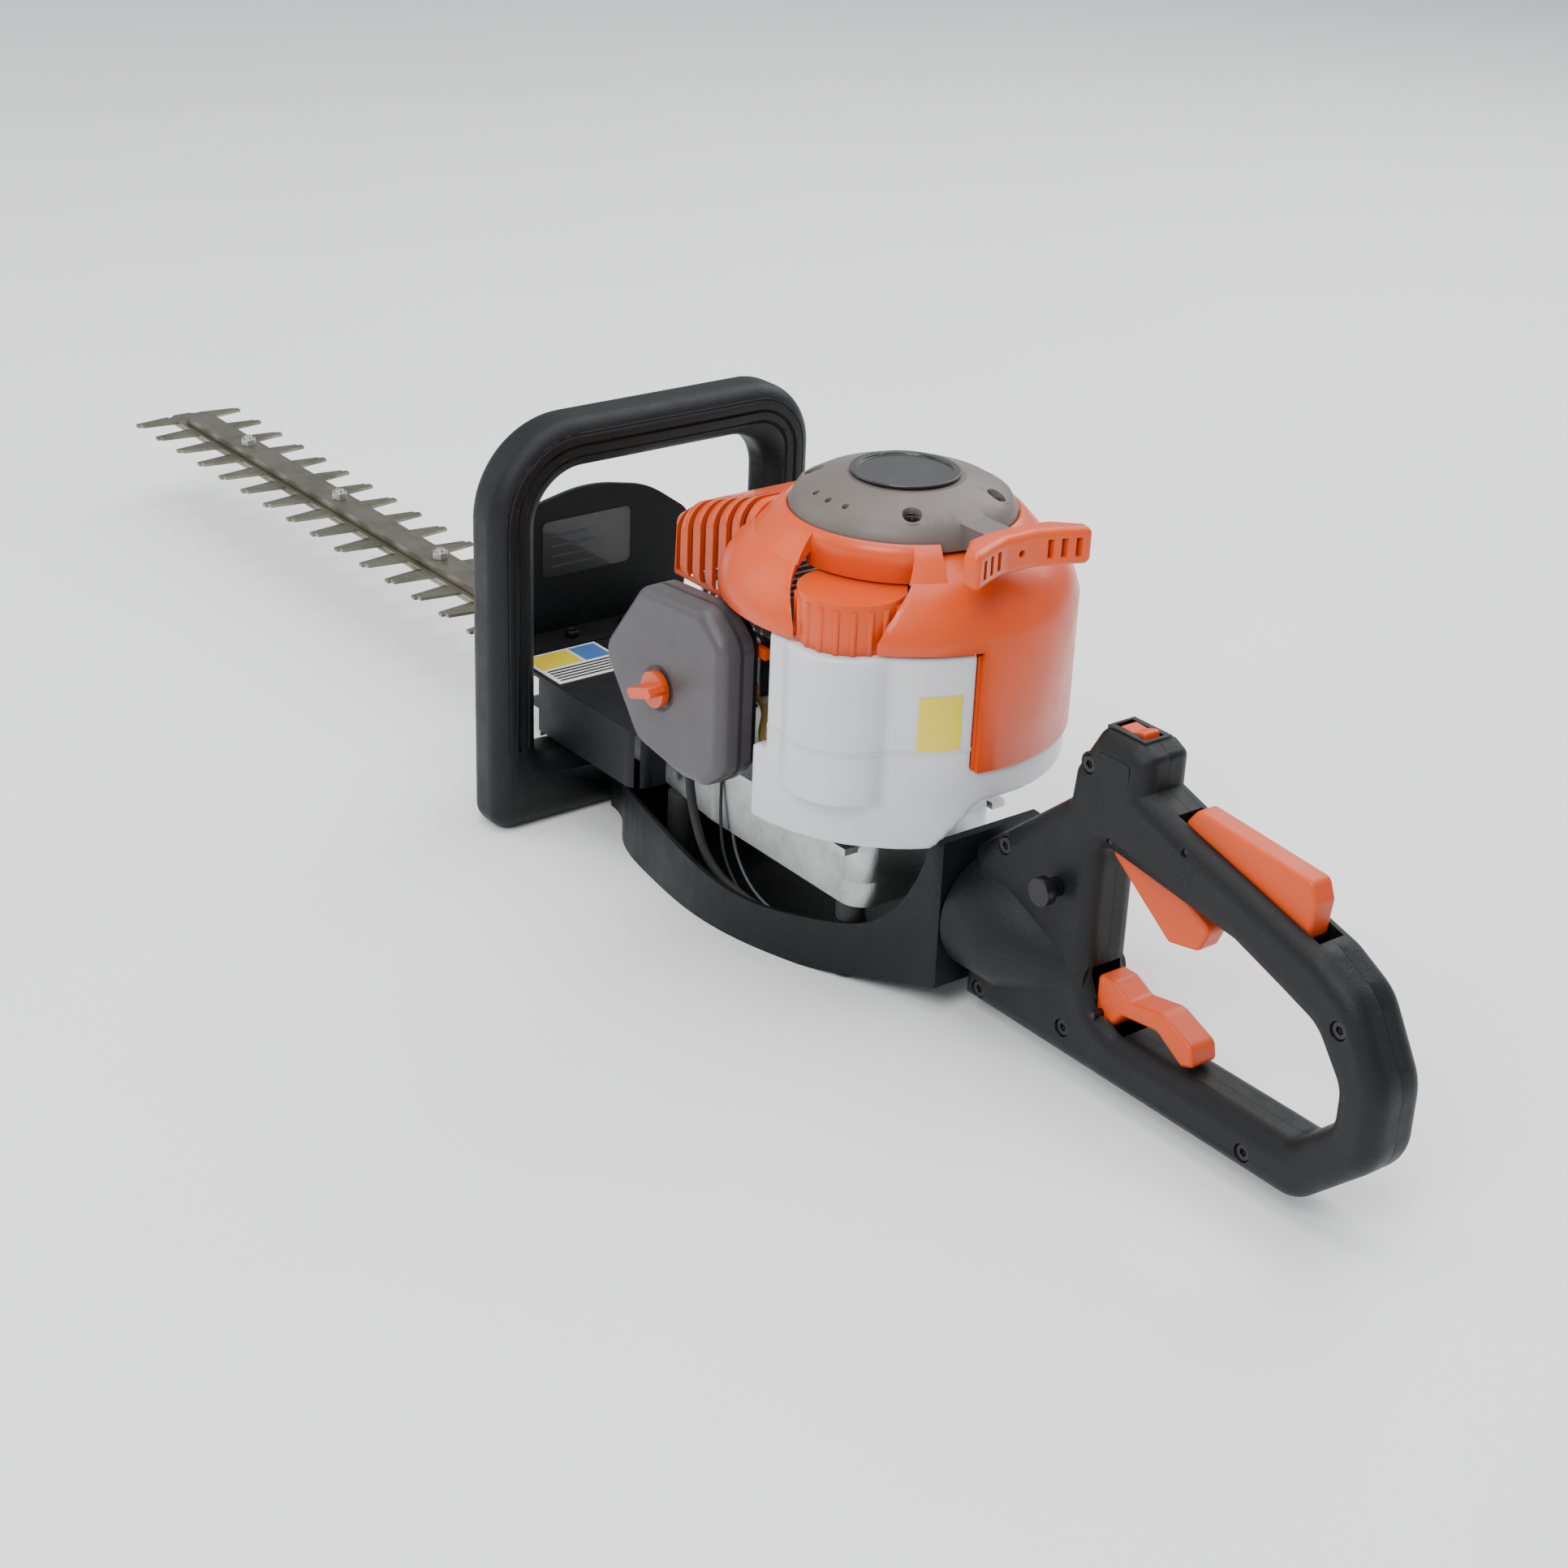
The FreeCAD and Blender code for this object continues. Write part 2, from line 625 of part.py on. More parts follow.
def crank_gear():
    """The reduction gear with one cam for each blade, half a turn apart."""
    bottom = CASE_BEARINGS_Z[0]
    top = CASE_BEARINGS_Z[1] + D.bearing_width
    shaft = rod((GEAR_X, 0, bottom), D.journal_r, top - bottom)
    cams = [rod((GEAR_X, D.blade_throw, UPPER_Z), D.cam_r, D.blade_thick),
            rod((GEAR_X, -D.blade_throw, D.blade_z), D.cam_r, UPPER_Z - D.blade_z)]
    hub = rod((GEAR_X, 0, BLADE_TOP - 0.5), 9, GEAR_Z - BLADE_TOP + 1)
    wheel = gear((GEAR_X, 0, GEAR_Z), GEAR_TEETH, 0.0)
    holes = [rod((GEAR_X + 19 * math.cos(math.radians(a)), 19 * math.sin(math.radians(a)), GEAR_Z - 1), 5.5,
                 D.gear_width + 2) for a in range(30, 390, 60)]
    return cut(fuse(wheel, hub, shaft, *cams), *holes)


def clutch_drum():
    """The drum with its pinion on one shaft, in mesh with the gear."""
    bottom = CASE_BEARINGS_Z[0]
    floor = D.case_top_z + 4
    shaft = rod((ENGINE_X, 0, bottom), D.journal_r, floor - bottom + 1)
    pinion = gear((ENGINE_X, 0, GEAR_Z), PINION_TEETH, math.pi / PINION_TEETH)
    cup = cut(rod((ENGINE_X, 0, floor), 30, 24), rod((ENGINE_X, 0, floor + 2.5), 27.2, 24))
    return fuse(shaft, pinion, cup)


# ---------------------------------------------------------------- front handle, guard and cradle

def front_handle():
    """The loop: a top bar and two posts on a deep base bar."""
    inner = LOOP_HALF - D.bar_width
    top = D.loop_height
    outer = [(-LOOP_HALF, 0, 12), (LOOP_HALF, 0, 12), (LOOP_HALF, top, D.loop_right_corner),
             (-LOOP_HALF, top, D.loop_left_corner)]
    lintel = top - D.bar_width
    opening = [(-inner, D.base_height, 6), (inner, D.base_height, 6), (inner, lintel, D.loop_right_corner - 14),
               (-inner, lintel, D.loop_left_corner - 26)]
    loop = slab("YZ_Plane", outer, LOOP_FRONT, LOOP_BACK, rim=D.loop_round, opening=opening)
    return cut(loop, *[screw_hole(at, "x", -1) for at in handle_screw_places()])


def handle_screw_places():
    return [(LOOP_BACK + D.cradle_wall, side * 22, z) for side in (1, -1) for z in (as_size(15), as_size(33))]


def guard_screw_places():
    return [(D.nose_x - 9, side * 20, D.case_top_z + 3) for side in (1, -1)]


def hand_guard():
    """A bent sheet: a tall shield and a foot on the case nose."""
    front = D.nose_x - 24
    low, foot_top = D.case_top_z, D.case_top_z + 3
    shield = slab("YZ_Plane", [(-70, low - 6, 8), (70, low - 6, 8), (78, low + 62, 20), (44, low + 86, 60),
                               (0, low + 95, 90), (-44, low + 86, 60), (-78, low + 62, 20)], front, front + 3)
    foot = box((front + 2, D.nose_x + 4.5), (-66, 66), (low, foot_top))
    holes = [screw_hole((x, y, z + 1), "z", -1) for x, y, z in guard_screw_places()]
    return cut(fuse(shield, foot), *holes)


def cradle_outline(grow):
    """The tray from above: a narrow neck at the front handle, a wide belly and a slim tail."""
    half = D.cradle_half - grow
    front, back = LOOP_BACK + grow, D.swivel_x - grow
    side = [(front, half * 0.46), (front + 18, half * 0.52), (as_size(58), half * 0.73), (as_size(105), half * 0.92),
            (as_size(157), half), (as_size(205), half * 0.93), (as_size(258), half * 0.70), (back, half * 0.46)]
    mirrored = [(x, -y) for x, y in side]
    return [side, [side[-1], mirrored[-1]], mirrored[::-1], [mirrored[0], side[0]]]


def cradle_rim():
    """The side view of what is open above the tray's rim, up to the tall bulkhead at the swivel."""
    end = D.swivel_x + 10
    rim = [(as_size(-50), 44.8), (as_size(20), 44.6), (as_size(90), 40), (as_size(150), 33), (as_size(200), 27),
           (as_size(245), 31), (as_size(280), 42), (D.swivel_x - 22, 65), (D.swivel_x - 10, 96)]
    return [rim, [rim[-1], (D.swivel_x - 6, 103)], [(D.swivel_x - 6, 103), (end, 104)], [(end, 104), (end, 200)],
            [(end, 200), (-50, 200)], [(-50, 200), rim[0]]]


def cradle_keel(lift):
    """The side view of what is cut away under the rising tail."""
    end = D.swivel_x + 1
    tail = [(as_size(228), -lift), (as_size(260), 3), (as_size(290), 9.5), (end, 18)]
    return [tail, [tail[-1], (end, -9)], [(end, -9), (as_size(228), -9)], [(as_size(228), -9), tail[0]]]


def cradle():
    wall = D.cradle_wall
    top = as_size(110)
    outer = curved_slab("XY_Plane", cradle_outline(as_size(0)), 0, top)
    inner = curved_slab("XY_Plane", cradle_outline(wall), wall, top + 1)
    above = curved_slab("XZ_Plane", cradle_rim(), -100, 100)
    keel = curved_slab("XZ_Plane", cradle_keel(0.5), -100, 100)
    tray = cut(outer, inner)
    tail_floor = place(common(curved_slab("XY_Plane", cradle_outline(wall - 1), 0, 40),
                              curved_slab("XZ_Plane", cradle_keel(0.5), -99, 99)), (0, 0, wall))
    bulkhead = common(outer, box((D.swivel_x - 8, D.swivel_x), (-100, 100), (0, 110)))
    posts = [rod((ENGINE_X + 23, side * 40, wall - 1), 9, 32) for side in (1, -1)]
    posts += [rod((as_size(100), side * 40, wall - 1), 9, 14) for side in (1, -1)]
    spigot = rod((D.swivel_x - 4, 0, D.swivel_z), D.spigot_r, 18, "x")
    body = fuse(cut(fuse(tray, bulkhead, tail_floor), above, keel), spigot, *posts)
    cable_way = rod((D.swivel_x - 10, 0, D.swivel_z), D.spigot_r - 5, 40, "x")
    holes = [screw_hole(at, "x", -1) for at in handle_screw_places()]
    return cut(body, cable_way, *holes)


def swivel_ring():
    """The ring that keeps the rear handle on the cradle's spigot."""
    start = D.swivel_x + 14
    plug = rod((D.swivel_x - 2, 0, D.swivel_z), D.spigot_r - 5, 18, "x")
    bore = rod((D.swivel_x - 3, 0, D.swivel_z), 8, 40, "x")
    return cut(fuse(rod((start, 0, D.swivel_z), D.spigot_r + 5, 4, "x"), plug), bore)


def av_mounts():
    """Rubber posts that carry the power unit on the cradle."""
    rear_low, front_low = D.cradle_wall + 31, D.cradle_wall + 13
    rear = [rod((ENGINE_X + 23, side * 40, rear_low), 8, D.case_floor_z - rear_low) for side in (1, -1)]
    front = [rod((as_size(100), side * 40, front_low), 8, D.case_floor_z - front_low) for side in (1, -1)]
    return group(*rear, *front)


def throttle_cable():
    """The sleeved cable that runs in the tray from the swivel to the carburettor."""
    route = [(D.swivel_x - 12, 0, D.swivel_z - 4), (D.swivel_x - 34, -12, 34), (D.swivel_x - 74, -30, 16),
             (D.swivel_x - 118, -52, 12), (FILTER_X - 12, -60, 24), (FILTER_X - 34, -59, 62),
             (FILTER_X - 34, -58, CARB_Z - 26)]
    return rounded_tube(route, 2.6)


def rounded_tube(route, radius):
    """A tube along straight runs that tangent arcs join."""
    spots = [FreeCAD.Vector(*[float(c) for c in point]) for point in route]
    edges = []
    last = spots[0]
    for before, corner, after in zip(spots, spots[1:], spots[2:]):
        back, ahead = (before - corner), (after - corner)
        room = 0.45 * min(back.Length, ahead.Length)
        back.normalize()
        ahead.normalize()
        start, end = corner + back * room, corner + ahead * room
        turn = math.pi - back.getAngle(ahead)
        bend = room / math.tan(turn / 2)
        inward = (back + ahead).normalize()
        centre = corner + inward * math.hypot(room, bend)
        edges.append(Part.LineSegment(last, start).toShape())
        edges.append(Part.Arc(start, centre - inward * bend, end).toShape())
        last = end
    edges.append(Part.LineSegment(last, spots[-1]).toShape())
    path = Part.Wire(edges)
    ring = Part.Wire(Part.makeCircle(float(radius), spots[0], spots[1] - spots[0]))
    sleeve = doc.addObject("Part::Feature", "sleeve")
    sleeve.Shape = path.makePipeShell([ring], True, False)
    return sleeve


# ---------------------------------------------------------------- engine

def clutch_housing():
    cup = cut(rod((ENGINE_X, 0, D.case_top_z), 40, D.housing_height),
              rod((ENGINE_X, 0, D.case_top_z - 1), 34, D.housing_height - 4))
    foot = tube((ENGINE_X, 0, D.case_top_z), 45, 34, 4)
    vents = [box((ENGINE_X - 50, ENGINE_X - 30), (y - 4, y + 4), (D.case_top_z + 8, D.case_top_z + 24))
             for y in (-14, 0, 14)]
    return cut(fuse(cup, foot), rod((ENGINE_X, 0, HOUSING_TOP - 6), D.journal_r + 6, 8), *vents)


def crankcase():
    low, high = HOUSING_TOP, CRANKCASE_TOP
    drum = rod((ENGINE_X, 0, low), D.crankcase_r, high - low)
    throat = box((CYLINDER_BACK - 2, ENGINE_X), (-27, 27), (CYLINDER_Z - 28, CYLINDER_Z + 28))
    cavity = rod((ENGINE_X, 0, low + 10), D.crankcase_r - 8, high - low - 20)
    bore = rod((CYLINDER_BACK - 3, 0, CYLINDER_Z), D.bore_r + 0.5, 36, "x")
    seats = [rod((ENGINE_X, 0, z), D.bearing_r, D.bearing_width + 1)
             for z in (low, high - D.bearing_width - 1)]
    necks = [rod((ENGINE_X, 0, z), D.journal_r + 0.6, 12) for z in (low - 1, high - 11)]
    return cut(fuse(drum, throat), cavity, bore, *seats, *necks)


def crankshaft():
    """The journals, two webs and the crank pin between them, with the pin at the rear at rest."""
    low = D.case_top_z + 9
    web_gap = 14
    pin_x = ENGINE_X + D.crank_throw
    web_r = D.crankcase_r - 10
    webs = [rod((ENGINE_X, 0, z), web_r, 9) for z in (CYLINDER_Z - web_gap / 2 - 9, CYLINDER_Z + web_gap / 2)]
    pin = rod((pin_x, 0, CYLINDER_Z - web_gap / 2 - 1), 5, web_gap + 2)
    lower = rod((ENGINE_X, 0, low), D.journal_r, CYLINDER_Z - web_gap / 2 - low)
    upper = rod((ENGINE_X, 0, CYLINDER_Z + web_gap / 2), D.journal_r,
                FLYWHEEL_Z + D.flywheel_height + 8 - CYLINDER_Z - web_gap / 2)
    return fuse(*webs, pin, lower, upper)


def clutch_shoes():
    """A hub with two centrifugal shoes just inside the drum."""
    low = D.case_top_z + 10
    hub = tube((ENGINE_X, 0, low), 11, D.journal_r, 13)
    block = tube((ENGINE_X, 0, low + 1), 26.4, 12, 11)
    gap = box((ENGINE_X - 30, ENGINE_X + 30), (-4, 4), (low, low + 13))
    arm = box((ENGINE_X - 24, ENGINE_X + 24), (-3.5, 3.5), (low + 3, low + 10))
    carrier = cut(fuse(hub, arm), rod((ENGINE_X, 0, low - 1), D.journal_r, 16))
    return group(carrier, cut(block, gap))


def flywheel():
    """A fan wheel: a dished disc, its vanes, and the claw cup for the starter."""
    low = FLYWHEEL_Z
    disc = rod((ENGINE_X, 0, low), D.flywheel_r, 7)
    hub = rod((ENGINE_X, 0, low), 18, D.flywheel_height)
    vanes = []
    for step in range(12):
        angle = 360 / 12 * step
        turn = FreeCAD.Rotation(FreeCAD.Vector(0, 0, 1), angle)
        vane = box((0, D.flywheel_r - 18), (-1.3, 1.3), (0, D.flywheel_height - 6))
        spoke = math.radians(angle)
        place(vane, (ENGINE_X + 17 * math.cos(spoke), 17 * math.sin(spoke), low + 6), turn)
        vanes.append(vane)
    return cut(fuse(disc, hub, *vanes), rod((ENGINE_X, 0, low - 1), D.journal_r, D.flywheel_height + 2))


def cylinder():
    """A finned barrel with its head, lying towards the blade."""
    front, back = CYLINDER_FRONT, CYLINDER_BACK - 2
    barrel = rod((front, 0, CYLINDER_Z), D.bore_r + 6, back - front, "x")
    flange = box((back - 5, back), (-27, 27), (CYLINDER_Z - 27, CYLINDER_Z + 27))
    fins = [box((x, x + 2), (-D.fin_half, D.fin_half), (CYLINDER_Z - D.fin_half + 8, CYLINDER_Z + D.fin_half - 6))
            for x in [front + 2 + 7 * step for step in range(9)]]
    port = box((front + 42, front + 66), (-D.fin_half - 2, 0), (CYLINDER_Z - 15, CYLINDER_Z + 15))
    outlet = box((front + 40, front + 68), (0, D.fin_half + 2), (CYLINDER_Z - 15, CYLINDER_Z + 15))
    bore = rod((front + 9, 0, CYLINDER_Z), D.bore_r, D.cylinder_length + 9, "x")
    ducts = [rod((front + 54, -D.fin_half - 3, CYLINDER_Z), 8, D.fin_half + 3, "y"),
             rod((front + 54, 0, CYLINDER_Z), 9, D.fin_half + 3, "y")]
    plug_hole = rod((front - 1, 0, CYLINDER_Z), 5, 12, "x")
    return cut(fuse(barrel, flange, port, outlet, *fins), bore, plug_hole, *ducts)


def piston():
    """The piston at the rear of its stroke, with its gudgeon pin hole."""
    crown = ENGINE_X - D.crank_throw - 70
    body = rod((crown, 0, CYLINDER_Z), D.bore_r - 0.06, 27, "x")
    inside = rod((crown + 5, 0, CYLINDER_Z), D.bore_r - 4, 30, "x")
    pin_hole = rod((crown + 14, 0, CYLINDER_Z - D.bore_r - 1), 4, 40)
    return cut(body, inside, pin_hole)


def connecting_rod():
    """The gudgeon pin and the rod, which stops short of the crank pin's path."""
    pin_x = ENGINE_X - D.crank_throw - 56
    pin = rod((pin_x, 0, CYLINDER_Z - D.bore_r + 1), 4, D.bore_r * 2 - 2)
    eye = rod((pin_x, 0, CYLINDER_Z - 5), 7.5, 10)
    end = ENGINE_X - D.crank_throw * 2 - 7.5
    arm = box((pin_x, end), (-4, 4), (CYLINDER_Z - 3.5, CYLINDER_Z + 3.5))
    return fuse(pin, eye, arm)


def spark_plug():
    front = CYLINDER_FRONT
    thread = rod((front - 2, 0, CYLINDER_Z), 5, 11, "x")
    hexagon_part = slab("YZ_Plane", hexagon((as_size(0), CYLINDER_Z), as_size(14)), front - 10, front - 2)
    shell = rod((front - 13, 0, CYLINDER_Z), 6, 3, "x")
    insulator = cone((front - 26, 0, CYLINDER_Z), 3, 4.5, 13, "x")
    return fuse(thread, hexagon_part, shell, insulator)


def spark_plug_boot():
    """The rubber cap and the lead that leaves it."""
    front = CYLINDER_FRONT - 14
    cap = rod((front - 18, 0, CYLINDER_Z), 9, 18, "x")
    neck = rod((front - 10, 0, CYLINDER_Z), 5.5, 24)
    room = cone((front - 12, 0, CYLINDER_Z), 3, 4.5, 13, "x")
    return cut(fuse(cap, neck), room)


def ignition_coil():
    y = D.flywheel_r + 2
    core = box((ENGINE_X - 20, ENGINE_X + 20), (y, y + 7), (FLYWHEEL_Z + 2, FLYWHEEL_Z + 14))
    winding = box((ENGINE_X - 12, ENGINE_X + 12), (y + 7, y + 22), (FLYWHEEL_Z, FLYWHEEL_Z + 18))
    leg = box((ENGINE_X - 30, ENGINE_X - 20), (y, y + 7), (CRANKCASE_TOP, FLYWHEEL_Z + 8))
    foot = box((ENGINE_X - 30, ENGINE_X - 20), (as_size(12), y + 7), (CRANKCASE_TOP, CRANKCASE_TOP + 4))
    return fuse(core, winding, leg, foot)


def rounded_block(left, right, low, high, corner):
    return [(left, low, corner), (right, low, corner), (right, high, corner), (left, high, corner)]


def muffler():
    y = D.fin_half + 2
    x, z = CYLINDER_FRONT + 54, CYLINDER_Z
    can = slab("XZ_Plane", rounded_block(x - 38, x + 32, z - 38, z + 16, 10), y + 4,
               y + 4 + D.muffler_depth - 12, rim=as_size(5))
    pipe = box((x - 14, x + 14), (y, y + 5), (z - 15, z + 15))
    outlet = rod((x - 20, y + D.muffler_depth - 9, z - 20), 6, 6, "y")
    gas_way = rod((x, y - 1, z), 8, 12, "y")
    return cut(fuse(can, pipe, outlet), gas_way)


def muffler_guard():
    """The slotted shield around the muffler."""
    y = D.fin_half + 2
    x, z = CYLINDER_FRONT + 54, CYLINDER_Z
    outer = slab("XZ_Plane", rounded_block(x - 46, x + 40, z - 46, z + 24, 14), y + 2,
                 y + D.muffler_depth, rim=as_size(8), low_rim=as_size(0))
    inner = slab("XZ_Plane", rounded_block(x - 43, x + 37, z - 43, z + 21, 11), y + 1,
                 y + D.muffler_depth - 3, rim=as_size(5), low_rim=as_size(0))
    slots = [box((x - 34, x + 28), (y + D.muffler_depth - 5, y + D.muffler_depth + 2),
                 (z - 42 + 12 * step, z - 36 + 12 * step)) for step in (1, 2, 3, 4)]
    hole = rod((x - 20, y + D.muffler_depth - 5, z - 20), 7.5, 8, "y")
    return cut(outer, inner, hole, *slots)


def intake_insulator():
    x, y = CYLINDER_FRONT + 54, -D.fin_half - 2
    plate = box((x - 18, x + 18), (y - 7, y), (CYLINDER_Z - 16, CYLINDER_Z + 16))
    return cut(plate, rod((x, y - 8, CYLINDER_Z), 8, 9, "y"))


def carburettor():
    x, y = CYLINDER_FRONT + 54, -D.fin_half - 9
    body = slab("XZ_Plane", rounded_block(x - 17, x + 17, CARB_Z - 18, CARB_Z + 18, 4), y - 20, y)
    pump = box((x - 15, x + 15), (y - 19, y - 1), (CARB_Z - 26, CARB_Z - 18))
    primer_seat = tube((x, y - 10, CARB_Z - 36), 10, 8.4, 11)
    stem_seat = rod((x - 27, y - 10, CARB_Z), 5, 12, "x")
    throat = rod((x, y - 21, CARB_Z), 8, 22, "y")
    shaft_hole = rod((x - 28, y - 10, CARB_Z), 2 + D.run_gap, 11, "x")
    return cut(fuse(body, pump, primer_seat, stem_seat), throat, shaft_hole)


def throttle_lever():
    """The cable lever on the carburettor's throttle shaft."""
    x, y = CYLINDER_FRONT + 54, -D.fin_half - 19
    stem = rod((x - 33, y, CARB_Z), 2, 15, "x")
    plate = slab("YZ_Plane", [(y - 5, CARB_Z - 4, 2), (y + 5, CARB_Z - 4, 2), (y + 3.5, CARB_Z + 15, 3),
                              (y - 3.5, CARB_Z + 15, 3)], x - 31, x - 29)
    return fuse(stem, plate)


def air_box():
    """The back plate of the air filter, with the tube from the carburettor."""
    x, y = CYLINDER_FRONT + 54, -D.fin_half - 29
    back = slab("XZ_Plane", filter_outline(as_size(3)), FILTER_BACK, FILTER_BACK + 4)
    tube_part = tube((x, FILTER_BACK + 3, CARB_Z), 13, 8, y - FILTER_BACK - 3, "y")
    post = rod((FILTER_X, FILTER_BACK - 12, FILTER_Z - 7), 4, 13, "y")
    hole = rod((x, FILTER_BACK - 1, CARB_Z), 8, 8, "y")
    slot = box((FILTER_X + 38, FILTER_X + 44), (FILTER_BACK - 1, FILTER_BACK + 5), (FILTER_Z + 14, FILTER_Z + 30))
    return cut(fuse(back, tube_part, post), hole, slot)


def filter_outline(grow):
    """The filter cover from the side: a rounded box with its two front corners cut off."""
    x, z = FILTER_X, FILTER_Z
    return [(x - 56 + grow, z - 2, 14), (x - 22, z - 46 + grow, 16), (x + 20, z - 52 + grow, 12),
            (x + 40 - grow, z - 50 + grow, 12), (x + 55 - grow, z - 38, 12), (x + 55 - grow, z + 34, 14),
            (x + 36, z + 49 - grow, 14), (x - 20, z + 45 - grow, 14)]


def air_filter_element():
    """A pleated foam pad that fills the cover."""
    pad = slab("XZ_Plane", filter_outline(as_size(8)), FILTER_BACK - 12, FILTER_BACK - 0.5)
    return cut(pad, rod((FILTER_X, FILTER_BACK - 13, FILTER_Z - 7), 6, 14, "y"))


def air_filter_cover():
    face = D.filter_face_y
    shell = slab("XZ_Plane", filter_outline(as_size(0)), face, FILTER_BACK - 0.3, low_rim=as_size(6))
    inside = slab("XZ_Plane", filter_outline(as_size(2.5)), face + 3, FILTER_BACK + 1, low_rim=as_size(3.5))
    boss = tube((FILTER_X, face + 1, FILTER_Z - 7), 7, 3.3, 7, "y")
    dish = cone((FILTER_X, face - 0.5, FILTER_Z - 7), 14, 11, 2, "y")
    return cut(fuse(cut(shell, inside), boss), dish, rod((FILTER_X, face - 1, FILTER_Z - 7), 3.3, 12, "y"))


def filter_knob():
    """A wing knob on a stud."""
    face, z = D.filter_face_y, FILTER_Z - 7
    disc = rod((FILTER_X, face - 4.5, z), 10, 4.5, "y")
    wing = slab("XZ_Plane", [(FILTER_X - 12, z - 1, 2), (FILTER_X - 8, z - 6, 2), (FILTER_X + 12, z + 1, 2),
                             (FILTER_X + 8, z + 6, 2)], face - 13, face - 3)
    stud = rod((FILTER_X, face - 1, z), 3, 9, "y")
    return fuse(disc, wing, stud)


def choke_lever():
    x, y = FILTER_X + 41, FILTER_BACK + 5
    hub = rod((x, y, FILTER_Z + 2), 5, 5, "y")
    arm = box((x - 3, x + 3), (y, y + 3), (FILTER_Z + 2, FILTER_Z + 26))
    tab = box((x - 3, x + 16), (y, y + 3), (FILTER_Z + 23, FILTER_Z + 29))
    return fuse(hub, arm, tab)


def primer_bulb():
    """The soft bulb that is pressed up into its seat under the carburettor."""
    x, y = CYLINDER_FRONT + 54, -D.fin_half - 19
    return rod((x, y, CARB_Z - 42), 8, 11)


# ---------------------------------------------------------------- starter and shrouds

def shroud_profile(inset):
    """Half a section of the fan shroud: an upright skirt, a sloping shoulder and a flat top."""
    outer = D.shroud_r - inset
    top = SHROUD_TOP - inset
    return [(outer, SHROUD_BASE - (1 if float(inset) else 0)), (outer, top - 36), (outer - 3, top - 27),
            (outer - 9, top - 18), (outer - 18, top - 10), (outer - 29, top - 3), (D.starter_r - 18, top)]


def engine_shroud():
    """The fan shroud: a round shell, cut back for the tank, the cap and the cylinder cover."""
    centre = (ENGINE_X, as_size(0))
    lip = D.pulley_r + 4
    outer = spun(centre, shroud_profile(as_size(0)) + [(lip, SHROUD_TOP), (lip, SHROUD_BASE)])
    inner = spun(centre, shroud_profile(D.shroud_wall) + [(lip - 2, SHROUD_TOP - D.shroud_wall),
                                                         (lip - 2, SHROUD_BASE - 1)])
    open_side = sector(centre, D.shroud_r, SHROUD_BASE - 2, D.tank_top_z + 1.5, 62, 348)
    front = box((ENGINE_X - 110, ENGINE_X - 44), (-54, 54), (SHROUD_BASE - 2, SHROUD_TOP + 2))
    cap_room = rod((FILLER_X, D.filler_y, D.tank_top_z - 10), D.cap_r + 2, 60)
    holes = [rod((x, y, SHROUD_TOP - 10), D.screw_r + D.fit_gap, 20) for x, y in starter_screw_places()]
    return cut(outer, inner, open_side, front, cap_room, *holes)


def cover_profile(inset):
    """The cylinder cover from the side: a low nose that rises to the fan shroud."""
    past = 1 if float(inset) else 0
    front, back = CYLINDER_FRONT - 14 + inset, ENGINE_X - 44.5 + past
    top = SHROUD_TOP - inset
    low = CYLINDER_Z + 26 - past
    return [(front, low), (back, low), (back, top - 2), (back - 26 - past, top - 5), (front + 16, top - 24),
            (front + 2, top - 34)]


def cylinder_cover():
    """The louvred cover over the cylinder."""
    wall = D.shroud_wall
    outer = slab("XZ_Plane", cover_profile(as_size(0)), as_size(-52), as_size(52), rim=as_size(14))
    inner = slab("XZ_Plane", cover_profile(wall), -52 + wall, 52 - wall, rim=14 - wall)
    slots = []
    for step in range(7):
        x = CYLINDER_FRONT - 4 + 11.7 * step
        for side in (-1, 1):
            reach = sorted((side * 24, side * 60), key=float)
            slots.append(box((x, x + 5), (reach[0], reach[1]), (CYLINDER_Z + 34, SHROUD_TOP)))
    return cut(outer, inner, *slots)


def starter_cover():
    """The pressed dome over the recoil starter, with the post its pulley turns on."""
    centre = (ENGINE_X, as_size(0))
    radius, base, wall = D.starter_r, SHROUD_TOP, as_size(3)

    def section(inset):
        top = base + D.starter_dome - inset
        return [(radius - inset, base - (1 if float(inset) else 0)), (radius - inset, base + 6),
                (radius - 4 - inset, top - 9), (radius - 13 - inset, top - 4), (radius - 28, top),
                (0, top), (0, base - (1 if float(inset) else 0))]

    dome = cut(spun(centre, section(as_size(0))), spun(centre, section(wall)))
    guide = box((ENGINE_X + radius - 6, ENGINE_X + radius + 18), (-9, 9), (base + 0.5, base + 13))
    post = rod((ENGINE_X, 0, base + 1), 7, D.starter_dome - 2)
    rope_hole = rod((ENGINE_X + radius - 12, 0, ROPE_Z), 2.6, 40, "x")
    feet = [rod((x, y, base), 6.7, 14) for x, y in starter_screw_places()]
    vents = []
    for middle in (90, 180, 270):
        for step in (-14, 0, 14):
            angle = math.radians(middle + step)
            vents.append(rod((ENGINE_X + 50 * math.cos(angle), 50 * math.sin(angle), base + 10), 1.8, 20))
    holes = [rod((x, y, base - 1), D.screw_r + D.fit_gap, 20) for x, y in starter_screw_places()]
    wells = [rod((x, y, base + 10), D.screw_head_r + 0.6, 20) for x, y in starter_screw_places()]
    body = cut(fuse(dome, guide, post, *feet), rope_hole)
    return cut(cut(body, *holes, *wells), *vents)


def starter_screw_places():
    reach = D.starter_r - 11
    return [(ENGINE_X + reach * math.cos(math.radians(a)), reach * math.sin(math.radians(a)))
            for a in (35, 145, 215, 325)]


